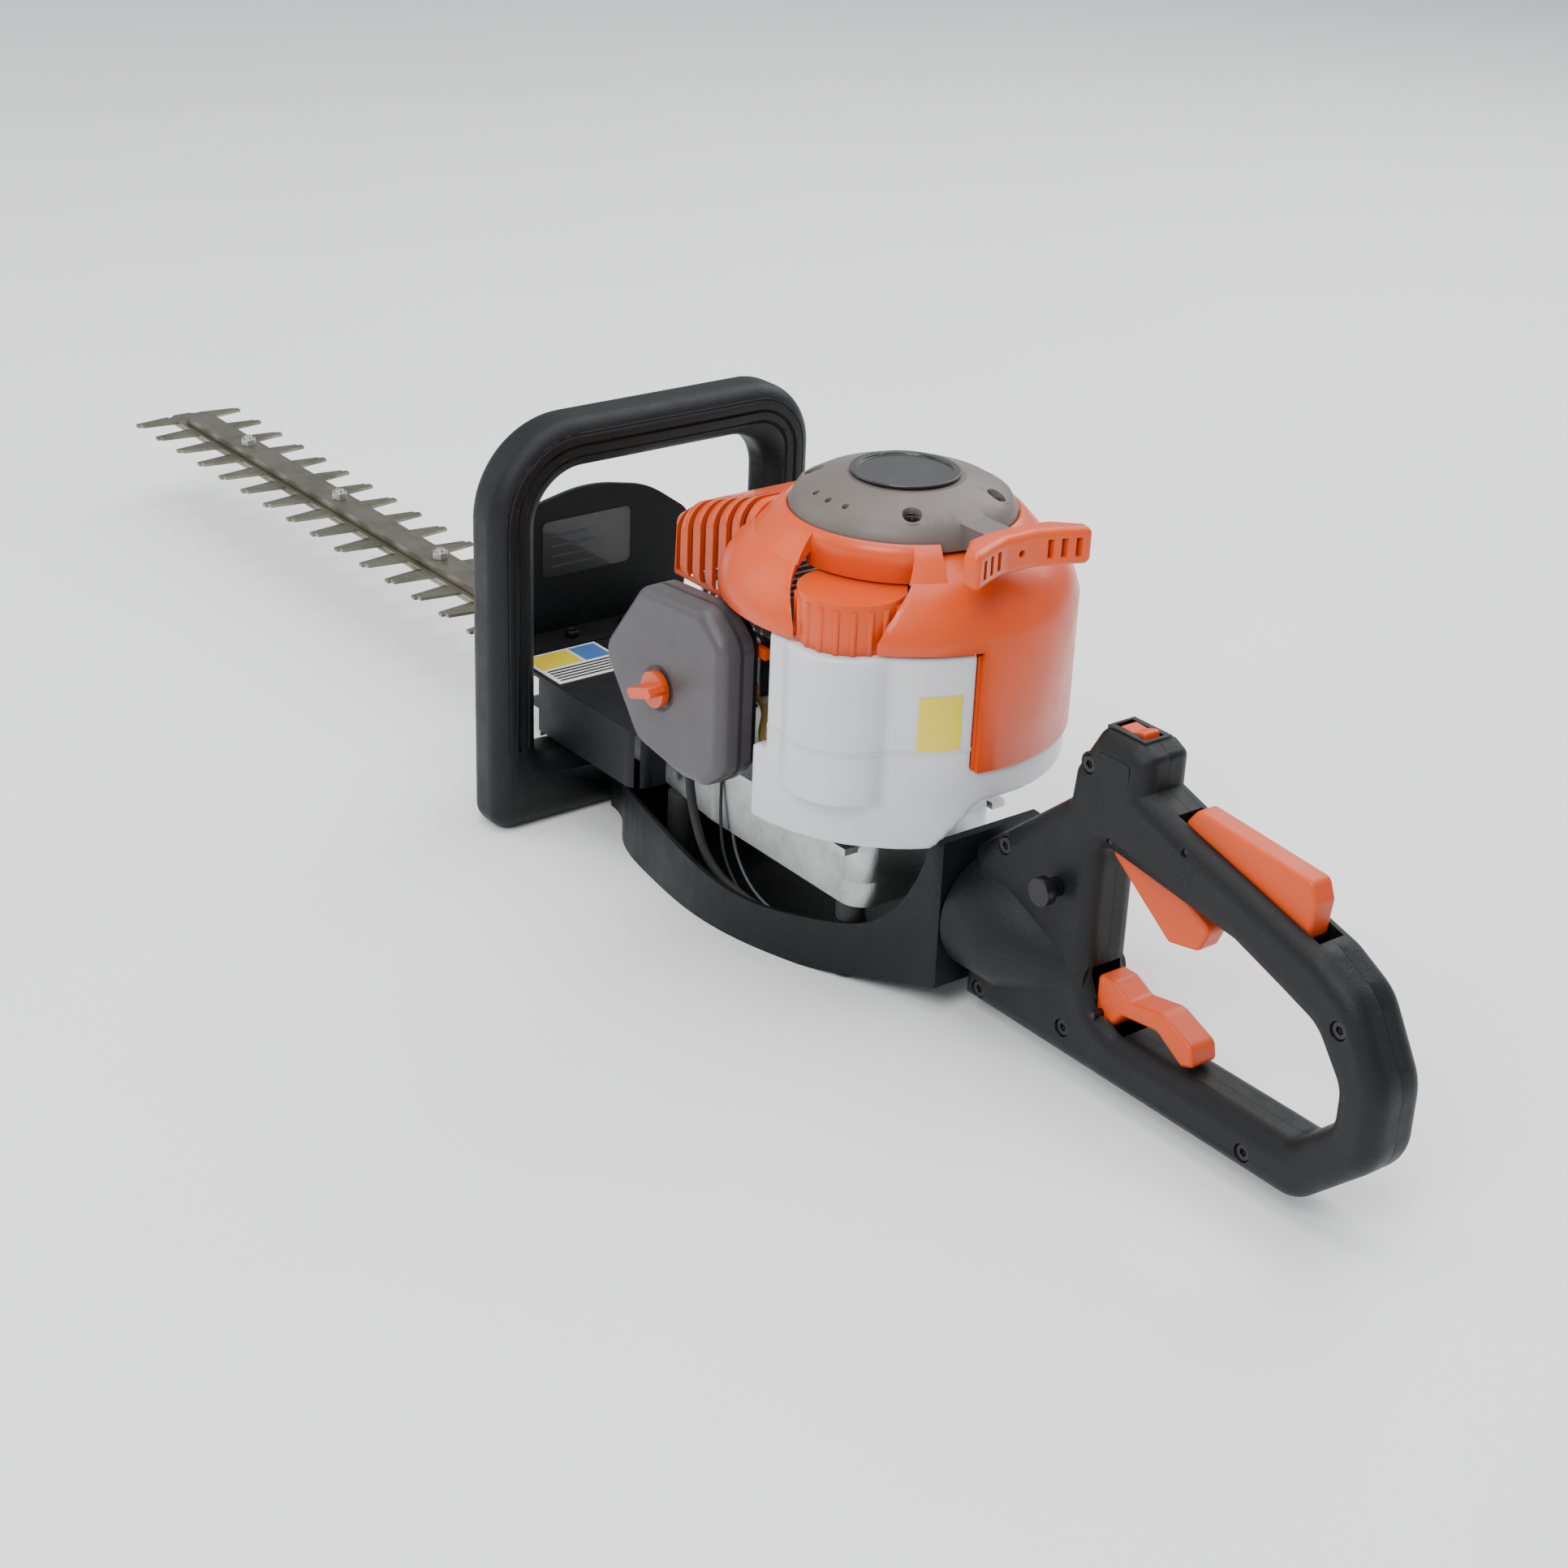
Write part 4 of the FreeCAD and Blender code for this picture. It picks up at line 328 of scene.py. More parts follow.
def make_metal_group():
    """Worked metal: directional grinding lines, tarnish clouds and oily patches."""
    group, start, end = new_group("worked_metal", [
        ("Colour", "NodeSocketColor", (0.5, 0.5, 0.5, 1)),
        ("Stain", "NodeSocketColor", (0.12, 0.09, 0.05, 1)),
        ("Stain Amount", "NodeSocketFloat", 0.3),
        ("Roughness", "NodeSocketFloat", 0.35),
        ("Line Scale", "NodeSocketVector", (40.0, 2600.0, 2600.0)),
        ("Line Depth", "NodeSocketFloat", 0.15),
    ], [("Colour", "NodeSocketColor"), ("Roughness", "NodeSocketFloat"), ("Normal", "NodeSocketVector")])
    links = group.links
    place = group.nodes.new("ShaderNodeTexCoord").outputs["Object"]
    stretch = group.nodes.new("ShaderNodeVectorMath")
    stretch.operation = "MULTIPLY"
    links.new(place, stretch.inputs[0])
    links.new(start.outputs["Line Scale"], stretch.inputs[1])
    lines = noise(group, stretch.outputs["Vector"], 1.0, 3.0, 0.6)
    cloud = noise(group, place, 35.0, 6.0, 0.65)
    fine = noise(group, place, 420.0, 3.0, 0.5)
    stain = remap(group, cloud, 0.42, 0.7, 0.0, 1.0)
    stain = arith(group, "MULTIPLY", stain, start.outputs["Stain Amount"])
    toned = blend_colours(group, 1.0, start.outputs["Colour"], remap(group, lines, 0.25, 0.75, 0.82, 1.15), "MULTIPLY")
    stained = blend_colours(group, stain, toned, start.outputs["Stain"])
    links.new(stained, end.inputs["Colour"])
    rough = arith(group, "ADD", start.outputs["Roughness"], remap(group, lines, 0.3, 0.7, -0.07, 0.1))
    rough = arith(group, "ADD", rough, arith(group, "MULTIPLY", stain, 0.35))
    rough = arith(group, "ADD", rough, remap(group, fine, 0.3, 0.7, -0.04, 0.04))
    links.new(rough, end.inputs["Roughness"])
    bump = group.nodes.new("ShaderNodeBump")
    bump.inputs["Distance"].default_value = 0.0002
    links.new(start.outputs["Line Depth"], bump.inputs["Strength"])
    links.new(lines, bump.inputs["Height"])
    links.new(bump.outputs["Normal"], end.inputs["Normal"])
    return group


def make_cast_group():
    """Cast or sprayed metal: pitted skin with darker hollows and rubbed high spots."""
    group, start, end = new_group("cast_skin", [
        ("Colour", "NodeSocketColor", (0.5, 0.5, 0.5, 1)),
        ("Dark", "NodeSocketColor", (0.1, 0.1, 0.1, 1)),
        ("Pit Scale", "NodeSocketFloat", 700.0),
        ("Depth", "NodeSocketFloat", 0.4),
        ("Roughness", "NodeSocketFloat", 0.5),
    ], [("Colour", "NodeSocketColor"), ("Roughness", "NodeSocketFloat"), ("Normal", "NodeSocketVector")])
    links = group.links
    place = group.nodes.new("ShaderNodeTexCoord").outputs["Object"]
    pits = noise(group, place, start.outputs["Pit Scale"], 4.0, 0.65)
    cloud = noise(group, place, 45.0, 4.0, 0.6)
    grime = arith(group, "MULTIPLY", remap(group, cloud, 0.35, 0.75, 0.0, 0.7), remap(group, pits, 0.3, 0.6, 1.0, 0.4))
    links.new(blend_colours(group, grime, start.outputs["Colour"], start.outputs["Dark"]), end.inputs["Colour"])
    links.new(arith(group, "ADD", start.outputs["Roughness"], remap(group, cloud, 0.3, 0.7, -0.08, 0.12)),
              end.inputs["Roughness"])
    bump = group.nodes.new("ShaderNodeBump")
    bump.inputs["Distance"].default_value = 0.0005
    links.new(start.outputs["Depth"], bump.inputs["Strength"])
    links.new(pits, bump.inputs["Height"])
    links.new(bump.outputs["Normal"], end.inputs["Normal"])
    return group


MOULDED = make_moulded_group()
METAL = make_metal_group()
CAST = make_cast_group()


# ---------------------------------------------------------------- materials

def new_material(name):
    material = bpy.data.materials.new(name)
    material.use_nodes = True
    return material, material.node_tree, material.node_tree.nodes["Principled BSDF"]


def place_group(tree, shader, group, values):
    """Puts a shared group in a material and joins it to the shader."""
    node = tree.nodes.new("ShaderNodeGroup")
    node.node_tree = group
    for name, value in values.items():
        node.inputs[name].default_value = value
    tree.links.new(node.outputs["Colour"], shader.inputs["Base Color"])
    tree.links.new(node.outputs["Roughness"], shader.inputs["Roughness"])
    tree.links.new(node.outputs["Normal"], shader.inputs["Normal"])
    return node


def moulded(name, colour, roughness, grain=1800.0, depth=0.3, scuffs=0.3, dust=0.1, coat=0.0, specular=0.5):
    material, tree, shader = new_material(name)
    place_group(tree, shader, MOULDED, {"Colour": (*colour, 1), "Roughness": roughness, "Grain Scale": grain,
                                        "Grain Depth": depth, "Scuffs": scuffs, "Dust": dust})
    shader.inputs["Coat Weight"].default_value = coat
    shader.inputs["Coat Roughness"].default_value = 0.12
    shader.inputs["Specular IOR Level"].default_value = specular
    return material


def worked(name, colour, roughness, stain=0.3, stain_colour=(0.10, 0.08, 0.05), lines=(40.0, 2600.0, 2600.0),
           depth=0.15, metallic=1.0):
    material, tree, shader = new_material(name)
    place_group(tree, shader, METAL, {"Colour": (*colour, 1), "Roughness": roughness, "Stain Amount": stain,
                                      "Stain": (*stain_colour, 1), "Line Scale": lines, "Line Depth": depth})
    shader.inputs["Metallic"].default_value = metallic
    return material


def cast(name, colour, dark, roughness, pits=700.0, depth=0.4, metallic=1.0):
    material, tree, shader = new_material(name)
    place_group(tree, shader, CAST, {"Colour": (*colour, 1), "Dark": (*dark, 1), "Roughness": roughness,
                                     "Pit Scale": pits, "Depth": depth})
    shader.inputs["Metallic"].default_value = metallic
    return material


def make_tank_plastic():
    """Milky blown tank wall: light passes into it, and painted shade darkens it towards the bottom."""
    material, tree, shader = new_material("milky_tank")
    node = place_group(tree, shader, MOULDED, {"Colour": (0.66, 0.68, 0.72, 1), "Roughness": 0.34,
                                               "Grain Scale": 900.0, "Grain Depth": 0.12, "Scuffs": 0.25,
                                               "Dust": 0.05})
    place = tree.nodes.new("ShaderNodeTexCoord").outputs["Object"]
    parts = tree.nodes.new("ShaderNodeSeparateXYZ")
    tree.links.new(place, parts.inputs["Vector"])
    # Painted shade: the wall is blended to a darker grey towards the bottom of the tank.
    wobble = arith(tree, "MULTIPLY", noise(tree, place, 18.0, 2.0), 0.012)
    depth = remap(tree, arith(tree, "ADD", parts.outputs["Z"], wobble), 0.085, 0.215, 1.0, 0.0)
    shade = blend_colours(tree, arith(tree, "MULTIPLY", depth, 0.45), node.outputs["Colour"],
                          (0.40, 0.42, 0.45, 1))
    tree.links.new(shade, shader.inputs["Base Color"])
    shader.inputs["Subsurface Weight"].default_value = 0.35
    shader.inputs["Subsurface Radius"].default_value = (0.012, 0.012, 0.014)
    shader.inputs["Subsurface Scale"].default_value = 0.6
    shader.inputs["Coat Weight"].default_value = 0.15
    return material


def make_sticker(name, colour, roughness=0.35):
    """Printed film with faint mottling and a slightly raised gloss."""
    material, tree, shader = new_material(name)
    place_group(tree, shader, MOULDED, {"Colour": (*colour, 1), "Roughness": roughness, "Grain Scale": 300.0,
                                        "Grain Depth": 0.04, "Scuffs": 0.35, "Dust": 0.05})
    shader.inputs["Coat Weight"].default_value = 0.3
    return material


def make_braid(name, light, dark, pitch):
    """Braided cord: crossed strands that run round the rope, with painted shade in the gaps between them."""
    material, tree, shader = new_material(name)
    place = tree.nodes.new("ShaderNodeTexCoord").outputs["Object"]
    waves = []
    for turn in (0.6, -0.6):
        mapping = tree.nodes.new("ShaderNodeMapping")
        mapping.inputs["Rotation"].default_value = (0, 0, turn)
        tree.links.new(place, mapping.inputs["Vector"])
        wave = tree.nodes.new("ShaderNodeTexWave")
        wave.inputs["Scale"].default_value = pitch
        wave.inputs["Distortion"].default_value = 0.6
        tree.links.new(mapping.outputs["Vector"], wave.inputs["Vector"])
        waves.append(wave.outputs["Fac"])
    strands = arith(tree, "MAXIMUM", waves[0], waves[1])
    # Painted shade: the gaps between the strands, where the bump is low, take the dark colour.
    tree.links.new(blend_colours(tree, strands, (*dark, 1), (*light, 1)), shader.inputs["Base Color"])
    bump = tree.nodes.new("ShaderNodeBump")
    bump.inputs["Strength"].default_value = 0.6
    bump.inputs["Distance"].default_value = 0.0006
    tree.links.new(strands, bump.inputs["Height"])
    tree.links.new(bump.outputs["Normal"], shader.inputs["Normal"])
    shader.inputs["Roughness"].default_value = 0.8
    return material


ORANGE = moulded("orange_moulding", (0.640, 0.066, 0.003), 0.36, 1500.0, 0.12, 0.14, 0.015, 0.12, 0.42)
ORANGE_LEVER = moulded("orange_lever", (0.600, 0.062, 0.004), 0.42, 1700.0, 0.18, 0.14, 0.01, 0.03, 0.38)
BLACK = moulded("black_moulding", (0.0050, 0.0055, 0.0062), 0.46, 2000.0, 0.38, 0.10, 0.004, 0.0, 0.26)
BLACK_SMOOTH = moulded("black_smooth_moulding", (0.0052, 0.0058, 0.0066), 0.32, 2200.0, 0.12, 0.1, 0.004, 0.0, 0.34)
GRIP_BLACK = moulded("black_grip", (0.0046, 0.0050, 0.0056), 0.50, 1100.0, 0.6, 0.08, 0.004, 0.0, 0.28)
COVER_GREY = moulded("warm_grey_moulding", (0.125, 0.105, 0.094), 0.42, 1800.0, 0.3, 0.15, 0.02, 0.0, 0.4)
FILTER_GREY = moulded("dark_grey_moulding", (0.062, 0.058, 0.062), 0.40, 1900.0, 0.3, 0.15, 0.015, 0.0, 0.4)
BADGE_BLACK = moulded("badge_black", (0.014, 0.014, 0.015), 0.24, 900.0, 0.05, 0.3, 0.02, 0.3)
RUBBER = moulded("soft_rubber", (0.014, 0.014, 0.014), 0.72, 900.0, 0.5, 0.1, 0.08)
LEAD_GREY = moulded("lead_sheath", (0.10, 0.11, 0.12), 0.4, 700.0, 0.1, 0.1, 0.02)
BULB = moulded("bulb_rubber", (0.42, 0.42, 0.38), 0.3, 600.0, 0.08, 0.1, 0.02)
HOSE = moulded("fuel_hose", (0.40, 0.30, 0.07), 0.26, 500.0, 0.05, 0.1, 0.02, 0.3)
CERAMIC = moulded("glazed_ceramic", (0.75, 0.74, 0.70), 0.12, 300.0, 0.03, 0.1, 0.0, 0.6)
FOAM = moulded("filter_foam", (0.30, 0.27, 0.18), 0.95, 500.0, 1.0, 0.0, 0.1)
BLADE = worked("oiled_blade_steel", (0.250, 0.240, 0.190), 0.33, 0.6, (0.055, 0.050, 0.032), (30.0, 1500.0, 2400.0),
               0.35)
STEEL = worked("turned_steel", (0.50, 0.50, 0.51), 0.26, 0.15)
ZINC = worked("zinc_screw", (0.58, 0.58, 0.56), 0.30, 0.2, (0.2, 0.18, 0.13), (900.0, 900.0, 900.0), 0.1)
DARK_SCREW = worked("black_oxide_screw", (0.045, 0.045, 0.048), 0.36, 0.2, (0.09, 0.07, 0.05), (900.0, 900.0, 900.0),
                    0.1)
ALUMINIUM = cast("cast_aluminium", (0.56, 0.57, 0.57), (0.20, 0.19, 0.17), 0.42)
HOT_STEEL = cast("heat_blackened_steel", (0.045, 0.043, 0.042), (0.09, 0.06, 0.045), 0.5, 900.0, 0.25, 0.8)
TANK = make_tank_plastic()
ROPE = make_braid("braided_rope", (0.62, 0.61, 0.57), (0.15, 0.15, 0.14), 420.0)
FILM_WHITE = make_sticker("white_film", (0.80, 0.80, 0.78))
FILM_YELLOW = make_sticker("yellow_film", (0.76, 0.60, 0.02))
FILM_BLUE = make_sticker("blue_film", (0.05, 0.16, 0.42))
FILM_BLACK = make_sticker("black_film", (0.012, 0.012, 0.012))
FILM_SILVER = worked("silver_film", (0.10, 0.105, 0.11), 0.5, 0.1, (0.08, 0.08, 0.08), (600.0, 600.0, 600.0), 0.05)

FINISHES = {
    ORANGE: ["engine_shroud", "cylinder_cover", "fuel_cap", "filter_knob", "choke_lever", "starter_handle"],
    ORANGE_LEVER: ["trigger", "lockout_lever", "swivel_latch", "stop_switch"],
    BLACK_SMOOTH: ["throttle_lock_button", "switch_body"],
    GRIP_BLACK: ["rear_handle_left", "rear_handle_right", "front_handle"],
    BLACK: ["hand_guard", "gear_case_cover", "cradle", "swivel_ring", "air_box", "clutch_housing",
            "intake_insulator", "starter_pulley"],
    BADGE_BLACK: ["starter_badge"],
    COVER_GREY: ["starter_cover"],
    FILTER_GREY: ["air_filter_cover"],
    TANK: ["fuel_tank"],
    BLADE: ["upper_blade", "lower_blade", "guide_bar"],
    STEEL: ["shaft_bearings", "crank_gear", "clutch_drum", "clutch_shoes", "crankshaft", "connecting_rod"],
    ZINC: ["blade_bolts", "blade_nuts"],
    DARK_SCREW: ["machine_screws", "rear_handle_screws", "lever_pins"],
    HOT_STEEL: ["muffler", "muffler_guard", "throttle_lever"],
    ALUMINIUM: ["gear_case_lower", "gear_case_upper", "crankcase", "cylinder", "piston", "flywheel",
                "carburettor"],
    RUBBER: ["av_mounts", "spark_plug_boot", "throttle_cable", "ignition_coil"],
    BULB: ["primer_bulb"],
    HOSE: ["fuel_line"],
    FOAM: ["air_filter_element"],
    ROPE: ["starter_rope"],
    CERAMIC: ["spark_plug"],
}


def coat_with(obj, material):
    obj.data.materials.clear()
    obj.data.materials.append(material)
    return obj


def coat_cad_nodes():
    for material, nodes in FINISHES.items():
        for node in nodes:
            coat_with(NODES[node], material)


# ---------------------------------------------------------------- pieces

def refine_cad_nodes(skipped):
    """Breaks the sharp edges of the carried-over nodes so that they catch the light."""
    widths = {"upper_blade": 0.0005, "lower_blade": 0.0005, "guide_bar": 0.0006, "cradle": 0.0008,
              "gear_case_cover": 0.0012, "gear_case_upper": 0.0009, "gear_case_lower": 0.0009,
              "hand_guard": 0.0009, "engine_shroud": 0.0009, "cylinder_cover": 0.0008, "starter_cover": 0.0008,
              "starter_badge": 0.0006, "air_filter_cover": 0.0009, "rear_handle_left": 0.0006,
              "rear_handle_right": 0.0006, "fuel_cap": 0.0008, "filter_knob": 0.0007, "muffler_guard": 0.0006}
    for name, obj in NODES.items():
        if name in skipped:
            continue
        weld = obj.modifiers.new("weld", "WELD")
        weld.merge_threshold = 0.00001
        flatten = obj.modifiers.new("flatten", "DECIMATE")
        flatten.decimate_type = "DISSOLVE"
        flatten.angle_limit = math.radians(0.6)
        soften_edges(obj, widths.get(name, 0.0004), 32)


def make_front_handle():
    """The loop handle with long grooves along its front and rear faces."""
    obj = copy_of("front_handle", "grooved_front_handle")
    low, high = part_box("front_handle")
    middle = 0.5 * (low[0] + high[0])
    tools = []
    for face in (low[0], high[0]):
        for inset in (0.0085, 0.0150, 0.0215):
            tools.append(tube_along("groove", loop_line(low, high, inset, face), 0.0011, sides=2))
    carve(obj, *tools)
    for side in (-1, 1):
        for step in range(3):
            rib = block("rib", (middle - 0.006 + 0.004 * step, side * 0.1105 - 0.002, 0.070),
                        (middle - 0.0045 + 0.004 * step, side * 0.1105 + 0.0045, 0.160))
            carve(obj, rib)
    soften_edges(obj, 0.0005, 34)
    apply_modifiers(obj)
    smooth(obj, 40)
    coat_with(obj, GRIP_BLACK)
    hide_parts("front_handle")
    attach(obj, "frame")
    return obj


def loop_line(low, high, inset, x):
    """A line up one post, over the top bar and down the other post."""
    left, right, top = low[1] + inset, high[1] - inset, high[2] - inset
    points = [(x, left, 0.052)]
    for step in range(9):
        turn = math.radians(180 - 90 * step / 8)
        radius = LOOP_LEFT_CORNER - inset
        points.append((x, left + radius + radius * math.cos(turn), top - radius + radius * math.sin(turn)))
    for step in range(9):
        turn = math.radians(90 - 90 * step / 8)
        radius = LOOP_RIGHT_CORNER - inset
        points.append((x, right - radius + radius * math.cos(turn), top - radius + radius * math.sin(turn)))
    points.append((x, right, 0.052))
    return points


def make_tank():
    """The blown tank: the outside of the moulding with its edges rounded as blowing leaves them."""
    obj = copy_of("fuel_tank", "blown_fuel_tank")
    low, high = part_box("fuel_tank")
    centre = cap_centre()
    plug = disc("plug", (centre[0], centre[1], high[2] - 0.008), 0.0215, 0.018)
    filling = obj.modifiers.new("filling", "BOOLEAN")
    filling.operation = "UNION"
    filling.solver = "EXACT"
    filling.object = plug
    pick(obj)
    bpy.ops.object.modifier_apply(modifier=filling.name)
    bpy.data.objects.remove(plug, do_unlink=True)
    keep_largest_island(obj)
    remesh = obj.modifiers.new("skin", "REMESH")
    remesh.mode = "VOXEL"
    remesh.voxel_size = 0.0016
    apply_modifiers(obj)
    relax = obj.modifiers.new("relax", "SMOOTH")
    relax.factor = 0.5
    relax.iterations = 9
    apply_modifiers(obj)
    smooth(obj, 80)
    coat_with(obj, TANK)
    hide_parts("fuel_tank")
    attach(obj, "frame")
    return obj


def keep_largest_island(obj):
    """Removes every loose part but the one with the largest span."""
    mesh = bmesh.new()
    mesh.from_mesh(obj.data)
    mesh.verts.ensure_lookup_table()
    seen, islands = set(), []
    for vert in mesh.verts:
        if vert.index in seen:
            continue
        island, queue = [], [vert]
        seen.add(vert.index)
        while queue:
            current = queue.pop()
            island.append(current)
            for edge in current.link_edges:
                other = edge.other_vert(current)
                if other.index not in seen:
                    seen.add(other.index)
                    queue.append(other)
        islands.append(island)

    def span(island):
        return sum(max(v.co[i] for v in island) - min(v.co[i] for v in island) for i in range(3))

    islands.sort(key=span)
    bmesh.ops.delete(mesh, geom=[v for island in islands[:-1] for v in island], context="VERTS")
    mesh.to_mesh(obj.data)
    mesh.free()


def cap_centre():
    low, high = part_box("fuel_cap")
    return ((low[0] + high[0]) / 2, (low[1] + high[1]) / 2)


def engine_centre():
    low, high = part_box("starter_badge")
    return ((low[0] + high[0]) / 2, (low[1] + high[1]) / 2)


def high_radius(node):
    """How far a node reaches in +X from the upright axis of the engine."""
    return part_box(node)[1][0] - engine_centre()[0]


def make_rope():
    """The starter rope, which leaves the guide and runs to the knot in the grip."""
    low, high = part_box("starter_rope")
    y, z = (low[1] + high[1]) / 2, (low[2] + high[2]) / 2
    count = 24
    points = [(low[0] - 0.012 + (high[0] - low[0] + 0.012) * step / count, y, z) for step in range(count + 1)]
    obj = tube_along("pull_rope", points, 0.0018, sides=3)
    coat_with(obj, ROPE)
    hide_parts("starter_rope")
    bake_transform(obj)
    return obj


def film(name, low, high, material, body, corner=0.003):
    """A thin film label with rounded corners, flat on a level or upright face."""
    deselect()
    size = [b - a for a, b in zip(low, high)]
    thin = size.index(min(size))
    obj = block(name, low, high)
    pick(obj)
    bpy.ops.object.mode_set(mode="EDIT")
    bpy.ops.mesh.select_all(action="DESELECT")
    mesh = bmesh.from_edit_mesh(obj.data)
    for edge in mesh.edges:
        run = edge.verts[1].co - edge.verts[0].co
        edge.select = abs(run[thin]) > 0.9 * run.length
    bmesh.update_edit_mesh(obj.data)
    bpy.ops.mesh.bevel(offset=corner, segments=5, affect="EDGES")
    bpy.ops.object.mode_set(mode="OBJECT")
    coat_with(obj, material)
    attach(obj, body)
    return obj


def make_case_label():
    """The printed label on the case cover, with plain blocks of colour."""
    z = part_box("gear_case_cover")[1][2]
    film("case_label_base", (-0.032, -0.067, z), (0.012, -0.014, z + 0.0003), FILM_WHITE, "frame")
    film("case_label_yellow", (-0.030, -0.065, z + 0.0003), (-0.010, -0.036, z + 0.0005), FILM_YELLOW, "frame", 0.002)
    film("case_label_blue", (-0.030, -0.034, z + 0.0003), (-0.010, -0.016, z + 0.0005), FILM_BLUE, "frame", 0.002)
    for step in range(5):
        x = -0.007 + 0.0036 * step
        film(f"case_label_bar_{step}", (x, -0.064, z + 0.0003), (x + 0.0016, -0.018 - 0.004 * (step % 2), z + 0.0005),
             FILM_BLACK, "frame", 0.0005)


def make_guard_plate():
    """The rating plate of the guard: a dark film with a few plain bars."""
    low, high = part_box("hand_guard")
    x = low[0] + 0.003
    base = low[2] + 0.045
    film("guard_plate", (x, -0.034, base), (x + 0.0004, 0.030, base + 0.036), FILM_BLACK, "frame", 0.004)
    for step in range(4):
        z = base + 0.006 + 0.0065 * step
        film(f"guard_plate_bar_{step}", (x + 0.0004, -0.028, z), (x + 0.0006, 0.004 - 0.006 * (step % 2), z + 0.0016),
             FILM_SILVER, "frame", 0.0006)


def slice_ring(name, source, axis, low, high, grow, material, body):
    """A thin slice of a shape, grown a little, that stands for a parting bead round it or for a dark band of painted
    shade in a groove.
    """
    pick(source)
    bpy.ops.object.duplicate()
    obj = bpy.context.object
    obj.name = name
    for level, sign in ((low, 1), (high, -1)):
        point, normal = [0, 0, 0], [0, 0, 0]
        point[axis], normal[axis] = level, sign
        bpy.ops.object.mode_set(mode="EDIT")
        bpy.ops.mesh.select_all(action="SELECT")
        bpy.ops.mesh.bisect(plane_co=point, plane_no=normal, use_fill=True, clear_inner=True)
        bpy.ops.object.mode_set(mode="OBJECT")
    swell = obj.modifiers.new("swell", "DISPLACE")
    swell.strength = grow
    swell.mid_level = 0.0
    apply_modifiers(obj)
    smooth(obj, 30)
    coat_with(obj, material)
    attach(obj, body)
    return obj


def lathed_arc(name, section, start, end):
    """A section swept round the upright axis of the engine, between two angles in degrees."""
    centre = engine_centre()
    start, end = math.radians(start), math.radians(end)
    count = 96
    mesh = bmesh.new()
    rings = []
    for step in range(count + 1):
        angle = start + (end - start) * step / count
        along = (math.cos(angle), math.sin(angle))
        rings.append([mesh.verts.new((centre[0] + r * along[0], centre[1] + r * along[1], z)) for r, z in section])
    for first, second in zip(rings, rings[1:]):
        for spot in range(len(section)):
            after = (spot + 1) % len(section)
            mesh.faces.new((first[spot], first[after], second[after], second[spot]))
    mesh.faces.new(rings[0])
    mesh.faces.new(rings[-1][::-1])
    data = bpy.data.meshes.new(name)
    mesh.to_mesh(data)
    mesh.free()
    obj = bpy.data.objects.new(name, data)
    bpy.context.scene.collection.objects.link(obj)
    return face_outwards(obj)


def make_shoulder_lip():
    """The moulded lip that carries the shoulder of the shroud up to the edge of the dome."""
    low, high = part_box("starter_cover")
    radius = high[1] - engine_centre()[1]
    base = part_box("engine_shroud")[1][2]
    lip = lathed_arc("shoulder_lip", [
        (radius + 0.0004, base - 0.0040), (radius + 0.0004, base + 0.0045), (radius + 0.0016, base + 0.0052),
        (radius + 0.0045, base + 0.0036), (radius + 0.0090, base - 0.0012), (radius + 0.0140, base - 0.0066),
        (radius + 0.0172, base - 0.0104), (radius + 0.0150, base - 0.0118)], 22, 338)
    cap = cap_centre()
    cap_low, cap_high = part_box("fuel_cap")
    room = disc("room", (cap[0], cap[1], cap_high[2]), (cap_high[0] - cap_low[0]) / 2 + 0.001, 0.08)
    carve(lip, room)
    over_cap = cap_high[2] + 0.0012
    wall = lathed_arc("cap_recess_wall", [
        (radius - 0.0030, over_cap), (radius - 0.0030, base - 0.0010), (radius + 0.0004, base - 0.0010),
        (radius + 0.0004, base + 0.0045), (radius + 0.0016, base + 0.0052), (radius + 0.0044, base + 0.0036),
        (radius + 0.0056, base - 0.0010), (radius + 0.0046, base - 0.0060), (radius + 0.0030, over_cap)],
        -89, -30)
    skirt = high_radius("engine_shroud") - 0.0035
    flange_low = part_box("engine_shroud")[0][2] + 0.001
    flange_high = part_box("fuel_tank")[1][2] - 0.0105
    flange = lathed_arc("skirt_flange", [(skirt - 0.0030, flange_low), (skirt, flange_low), (skirt, flange_high),
                                         (skirt - 0.0030, flange_high)], -13.2, -8)
    for obj in (lip, wall, flange):
        smooth(obj, 50)
        coat_with(obj, ORANGE)
        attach(obj, "frame")


def make_filter_groove_shade():
    """A dark band round the filter cover between its two steps: painted shade where the groove seam lies."""
    source = copy_of("air_filter_cover", "filter_groove_shade_source")
    low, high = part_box("air_filter_cover")
    depth = high[1] - low[1]
    # Painted shade: the dark rubber band stands for the shade in the groove seam.
    slice_ring("filter_groove_shade_band", source, 1, high[1] - 0.42 * depth, high[1] - 0.34 * depth, 0.0004, RUBBER,
               "air_filter_cover")
    bpy.data.objects.remove(source, do_unlink=True)


def make_tank_seam(tank):
    """The parting bead that the blowing mould leaves round the tank."""
    low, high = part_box("fuel_tank")
    middle = low[2] + 0.47 * (high[2] - low[2])
    slice_ring("tank_parting_bead", tank, 2, middle, middle + 0.0011, 0.0005, TANK, "frame")


def make_switch_leads():
    """Two thin leads that run in the tray from the swivel to the engine."""
    for name, side, material in (("stop_lead", -0.034, LEAD_GREY), ("earth_lead", -0.040, RUBBER)):
        points = [(0.306, side * 0.3, 0.052), (0.286, side * 0.5, 0.034), (0.262, side * 0.8, 0.020),
                  (0.230, side * 1.15, 0.010), (0.196, side * 1.3, 0.009), (0.170, side * 1.35, 0.020),
                  (0.152, side * 1.3, 0.046), (0.150, side * 1.2, 0.085)]
        obj = tube_along(name, points, 0.0009, sides=2, smooth_line=True)
        coat_with(obj, material)
        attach(obj, "frame")


